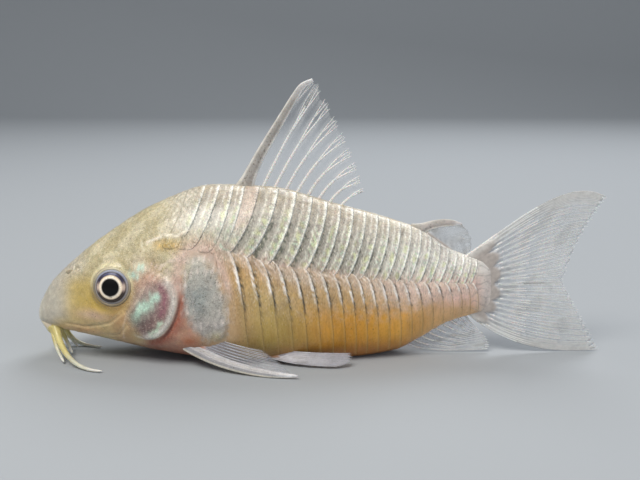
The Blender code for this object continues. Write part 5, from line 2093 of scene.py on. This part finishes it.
# The web between the dorsal spine and the first ray.
DORSAL_WEB = Sail(
    arcs=(
        ((28.2, 0, 22.0), (29.0, 0, 22.0), (29.7, 0, 22.0)),
        ((31.2, 0, 31.2), (32.1, 0, 30.2), (33.1, 0, 29.2)),
        ((36.4, 0, 36.2), (36.8, 0, 35.9), (37.2, 0, 35.7)),
    ),
    rays=2, root_mm=0.05, scallop=0.02, veil=0.15,
)
DORSAL_SPINE = Spine(
    bends=(
        (27.0, 0, 20.8), (27.9, 0, 23.2), (29.2, 0, 25.9), (30.6, 0, 28.3), (32.0, 0, 30.6), (33.2, 0, 32.6),
        (34.2, 0, 34.2), (35.1, 0, 35.4), (36.4, 0, 36.1),
    ),
    widths=(4.2, 2.1, 1.5, 1.35, 1.25, 1.15, 1.0, 0.9, 0.5),
    depths=(1.6, 0.8, 0.6, 0.5, 0.4, 0.2),
    behind=(1, 0, -0.5),
    bone="#A4A09B", front_edge="#D9D7D1", rear_edge="#E0DFDB", dark=0.75,
)
DORSAL = Fin("dorsal", ("dorsal_fin",), (DORSAL_SAIL, DORSAL_WEB), spine=DORSAL_SPINE)

ADIPOSE_SAIL = Sail(
    arcs=(
        ((50.6, 0, 15.6), (53.4, 0, 13.6), (56.0, 0, 12.6)),
        ((53.0, 0, 18.4), (55.0, 0, 15.6), (56.2, 0, 13.4)),
        ((55.9, 0, 17.5), (57.7, 0, 15.9), (57.1, 0, 13.9)),
    ),
    rays=3, root_mm=0.02, tip_mm=0.02, forks=(0.7,), scallop=0.0, sway=0.0,
    tint="#BFC3C7", streaks="#C9CBCC", veil=0.42, hem=0.4, pad=0.22, pad_mm=0.3,
)
ADIPOSE_SPINE = Spine(
    bends=((49.9, 0, 16.4), (52.6, 0, 18.1), (55.9, 0, 17.45)),
    widths=(2.6, 1.5, 1.2, 1.1, 1.0, 0.8, 0.2),
    depths=(1.4, 0.7, 0.4, 0.26, 0.12),
    behind=(0, 0, -1),
    front_edge="#C2BFB8", rear_edge="#EDEBE4", dark=0.5,
)
ADIPOSE = Fin("adipose", ("adipose_fin",), (ADIPOSE_SAIL,), half_thickness=0.08, spine=ADIPOSE_SPINE)

UPPER_LOBE = Sail(
    arcs=(
        ((55.9, 0, 12.7), (58.4, 0, 11.6), (58.6, 0, 9.3)),
        ((62.2, 0, 16.9), (63.8, 0, 13.4), (62.6, 0, 9.4)),
        ((69.7, 0, 24.5), (66.7, 0, 12.6), (66.1, 0, 9.5)),
        ((74.9, 0, 20.9), (71.4, 0, 16.4), (69.6, 0, 9.7)),
    ),
    rays=12, root_mm=0.17, tip_mm=0.09, forks=(0.24, 0.5, 0.76), spread=0.8, crowd=0.35,
    sway=0.25, scallop=0.03, veil=0.4, pad=0.2, band=3.0,
)
LOWER_LOBE = replace(
    UPPER_LOBE,
    arcs=(
        ((58.6, 0, 9.3), (58.4, 0, 7.0), (56.2, 0, 6.3)),
        ((62.6, 0, 9.4), (63.6, 0, 6.2), (60.4, 0, 1.9)),
        ((66.1, 0, 9.5), (68.7, 0, 6.0), (66.9, 0, -0.6)),
        ((69.6, 0, 9.7), (72.5, 0, 4.8), (74.9, 0, 0.4)),
    ),
    crowd=-UPPER_LOBE.crowd,
)
CAUDAL = Fin("caudal", ("caudal_fin_upper_lobe", "caudal_fin_lower_lobe"), (UPPER_LOBE, LOWER_LOBE))

ANAL_SAIL = Sail(
    arcs=(
        ((48.2, 0, 1.9), (52.3, 0, 3.6), (55.8, 0, 6.4)),
        ((49.6, 0, -0.3), (55.0, 0, 1.9), (57.0, 0, 4.6)),
        ((60.2, 0, 0.45), (61.0, 0, 1.2), (58.2, 0, 3.5)),
    ),
    rays=9, root_mm=0.17, forks=(0.4, 0.72), sway=0.1, tint="#B6BCC6", veil=0.5,
)
ANAL = Fin("anal", ("anal_fin",), (ANAL_SAIL,))

PECTORAL_SAIL = Sail(
    arcs=(
        ((19.6, -5.3, 3.3), (20.9, -5.6, 3.9), (22.2, -6.0, 4.3)),
        ((26.0, -9.4, 0.8), (27.0, -8.6, 2.6), (26.4, -8.1, 3.3)),
        ((34.2, -11.1, 0.6), (33.0, -9.8, 1.3), (30.2, -8.3, 2.8)),
    ),
    rays=8, root_mm=0.06, tip_mm=0.03, forks=(0.34, 0.7), spread=0.85, crowd=0.5, scallop=0.03,
    sway=0.0, tint="#A4A4AD", streaks="#ABABB3", veil=0.16, pad=0.2, pad_mm=0.3, pad_tint="#B38774",
)
PECTORAL_SPINE = Spine(
    bends=((17.9, -4.1, 3.7), (25.4, -9.8, 0.15), (34.6, -11.3, 0.45)),
    widths=(1.5, 1.5, 1.45, 1.3, 1.1, 0.85, 0.3),
    depths=(1.6, 1.1, 0.9, 0.75, 0.6, 0.2),
    behind=(0.25, 0.45, 0.9),
    bone="#97969A", front_edge="#EFE8D6", rear_edge="#C6C6CA", root="#B4806C", dark=0.35,
)
PECTORAL = Fin("pectoral", ("pectoral_fin",), (PECTORAL_SAIL,), soft=True, spine=PECTORAL_SPINE)

PELVIC_SAIL = Sail(
    arcs=(
        ((30.0, -4.4, 0.9), (30.8, -4.6, 1.2), (31.6, -4.6, 1.7)),
        ((34.0, -7.2, 0.3), (35.6, -6.9, 0.9), (35.6, -6.4, 1.8)),
        ((39.6, -7.3, 0.35), (41.9, -6.9, 0.5), (41.4, -5.9, 1.7)),
    ),
    rays=8, root_mm=0.09, tip_mm=0.04, forks=(0.2, 0.5, 0.8), spread=0.95, scallop=0.03, sway=0.0,
    tint="#B1AFB7", streaks="#CFCDD4", veil=0.5, pad=0.16, pad_mm=0.25, pad_tint="#B0805C",
)
PELVIC = Fin("pelvic", ("pelvic_fin",), (PELVIC_SAIL,), soft=True)

LONG_BENDS = (2.4, -1.7, 4.0), (3.9, -4.7, 0.8), (6.6, -8.2, 0.1), (10.0, -8.9, 0.3)
LONG_LEFT = Barbel("barbel_long_skin", LONG_BENDS, 0.48)
LONG_RIGHT = Barbel("barbel_long_skin", ((2.4, -1.7, 4.0), (2.2, -4.2, -0.4), (7.6, -1.7, 0.22)), 0.48)
SHORT_LEFT = Barbel("barbel_short_skin", ((2.1, -1.8, 4.0), (2.6, -3.2, 1.4), (4.3, -5.3, 0.3)), 0.4)
SHORT_RIGHT = Barbel("barbel_short_skin", ((2.1, -1.8, 4.0), (2.2, -3.3, 1.2), (3.0, -4.8, 0.3)), 0.4)
CHIN = Barbel("barbel_chin_skin", ((2.7, -0.8, 3.6), (3.7, -0.9, 1.6), (4.4, -1.5, 0.3)), 0.34)


@dataclass(frozen=True)
class Studio:
    """A plain pale floor that curves up into a wall, soft lights, and the photograph's camera."""

    half_width: float = 0.9
    near: float = -0.6
    far: float = 0.55
    wall: float = 0.9
    curve: float = 0.25
    camera_at: Point = (-0.0002, -0.1229, 0.03834)
    camera_pitch: float = 79.4
    lens_mm: float = 53.44
    sensor_mm: float = 36.0

    def floor(self) -> None:
        """The floor and wall, as one curved sheet."""
        bends = np.linspace(0, math.pi / 2, 24)
        profile = [(self.near, 0.0)]
        profile += [(self.far + self.curve * math.sin(a), self.curve * (1 - math.cos(a))) for a in bends]
        profile.append((self.far + self.curve, self.wall))
        points = [(x, y, z) for y, z in profile for x in (-self.half_width, self.half_width)]
        faces = [(2 * i, 2 * i + 1, 2 * i + 3, 2 * i + 2) for i in range(len(profile) - 1)]
        mesh = bpy.data.meshes.new("studio_floor")
        mesh.from_pydata(points, [], faces)
        mesh.shade_smooth()
        mesh.materials.append(StudioFinish().build())
        floor = bpy.data.objects.new("studio_floor", mesh)
        bpy.context.scene.collection.objects.link(floor)

    def light(self, name: str, at: Point, size: float, watts: float, tint: str) -> None:
        """A square soft light that faces the fish.

        Args:
            name: Its name.
            at: Where it is, in metres.
            size: Its side, in metres.
            watts: How bright it is.
            tint: Its colour.
        """
        lamp = bpy.data.lights.new(name, "AREA")
        lamp.size = size
        lamp.energy = watts
        lamp.color = tuple(linear(tint)[:3])
        lit = bpy.data.objects.new(name, lamp)
        lit.location = at
        aim = np.array((0.0, 0.0, 0.012)) - np.array(at)
        flat = math.hypot(aim[0], aim[1])
        lit.rotation_euler = (math.atan2(flat, -aim[2]), 0.0, math.atan2(aim[1], aim[0]) - math.pi / 2)
        bpy.context.scene.collection.objects.link(lit)

    def build(self) -> None:
        """Sets up floor, lights, surroundings and camera."""
        self.floor()
        self.light("key", (-0.18, -0.28, 0.46), 0.26, 2.5, "#FFF9F0")
        self.light("fill", (0.38, -0.3, 0.2), 0.4, 0.55, "#EDF3FF")
        self.light("rim", (0.1, 0.3, 0.38), 0.3, 1.3, "#FFFFFF")
        world = bpy.data.worlds.new("surroundings")
        world.use_nodes = True
        shell = world.node_tree.nodes["Background"]
        shell.inputs["Color"].default_value = tuple(linear("#E6EAEF"))
        shell.inputs["Strength"].default_value = 0.4
        bpy.context.scene.world = world
        bpy.context.scene.view_settings.view_transform = "Standard"
        lens = bpy.data.cameras.new("camera")
        lens.lens = self.lens_mm
        lens.sensor_width = self.sensor_mm
        lens.clip_start = 0.005
        camera = bpy.data.objects.new("camera", lens)
        camera.location = self.camera_at
        camera.rotation_euler = (math.radians(self.camera_pitch), 0.0, 0.0)
        bpy.context.scene.collection.objects.link(camera)
        bpy.context.scene.camera = camera


def one_side(fin: Fin, side: Side) -> Fin:
    """A paired fin with its names for one side.

    Args:
        fin: The fin.
        side: The side.

    Returns:
        A copy of the fin.
    """
    nodes = tuple(f"{node}_{side.word}" for node in fin.stands_for)
    return replace(fin, name=f"{fin.name}_{side.word}", stands_for=nodes)


def main() -> None:
    """Builds the fish piece by piece, and the studio round it."""
    logging.basicConfig(level=logging.INFO, format="%(name)s %(message)s")
    finishes = Finishes()
    Skin().build(finishes.skin)
    for row in (UPPER_ROW, LOWER_ROW):
        FlankPlates(row).build(finishes.plates)
    Mouth().build(finishes.skin)
    rays = RayTree()
    tree = rays.build()
    for fin in (DORSAL, ADIPOSE, CAUDAL, ANAL):
        fin.build(1, rays, tree, finishes)
    for side, long, short in ((Side.LEFT, LONG_LEFT, SHORT_LEFT), (Side.RIGHT, LONG_RIGHT, SHORT_RIGHT)):
        eye = Eye(side)
        eye.build(finishes.eye)
        eye.build_rim(finishes.skin)
        for fin in (PECTORAL, PELVIC):
            one_side(fin, side).build(-side.value, rays, tree, finishes)
        for feeler, kind in ((long, "long"), (short, "short"), (CHIN, "chin")):
            feeler.build(side, finishes.feeler, (f"barbel_{kind}_{side.word}",))
    Studio().build()


if __name__ == "__main__":
    main()
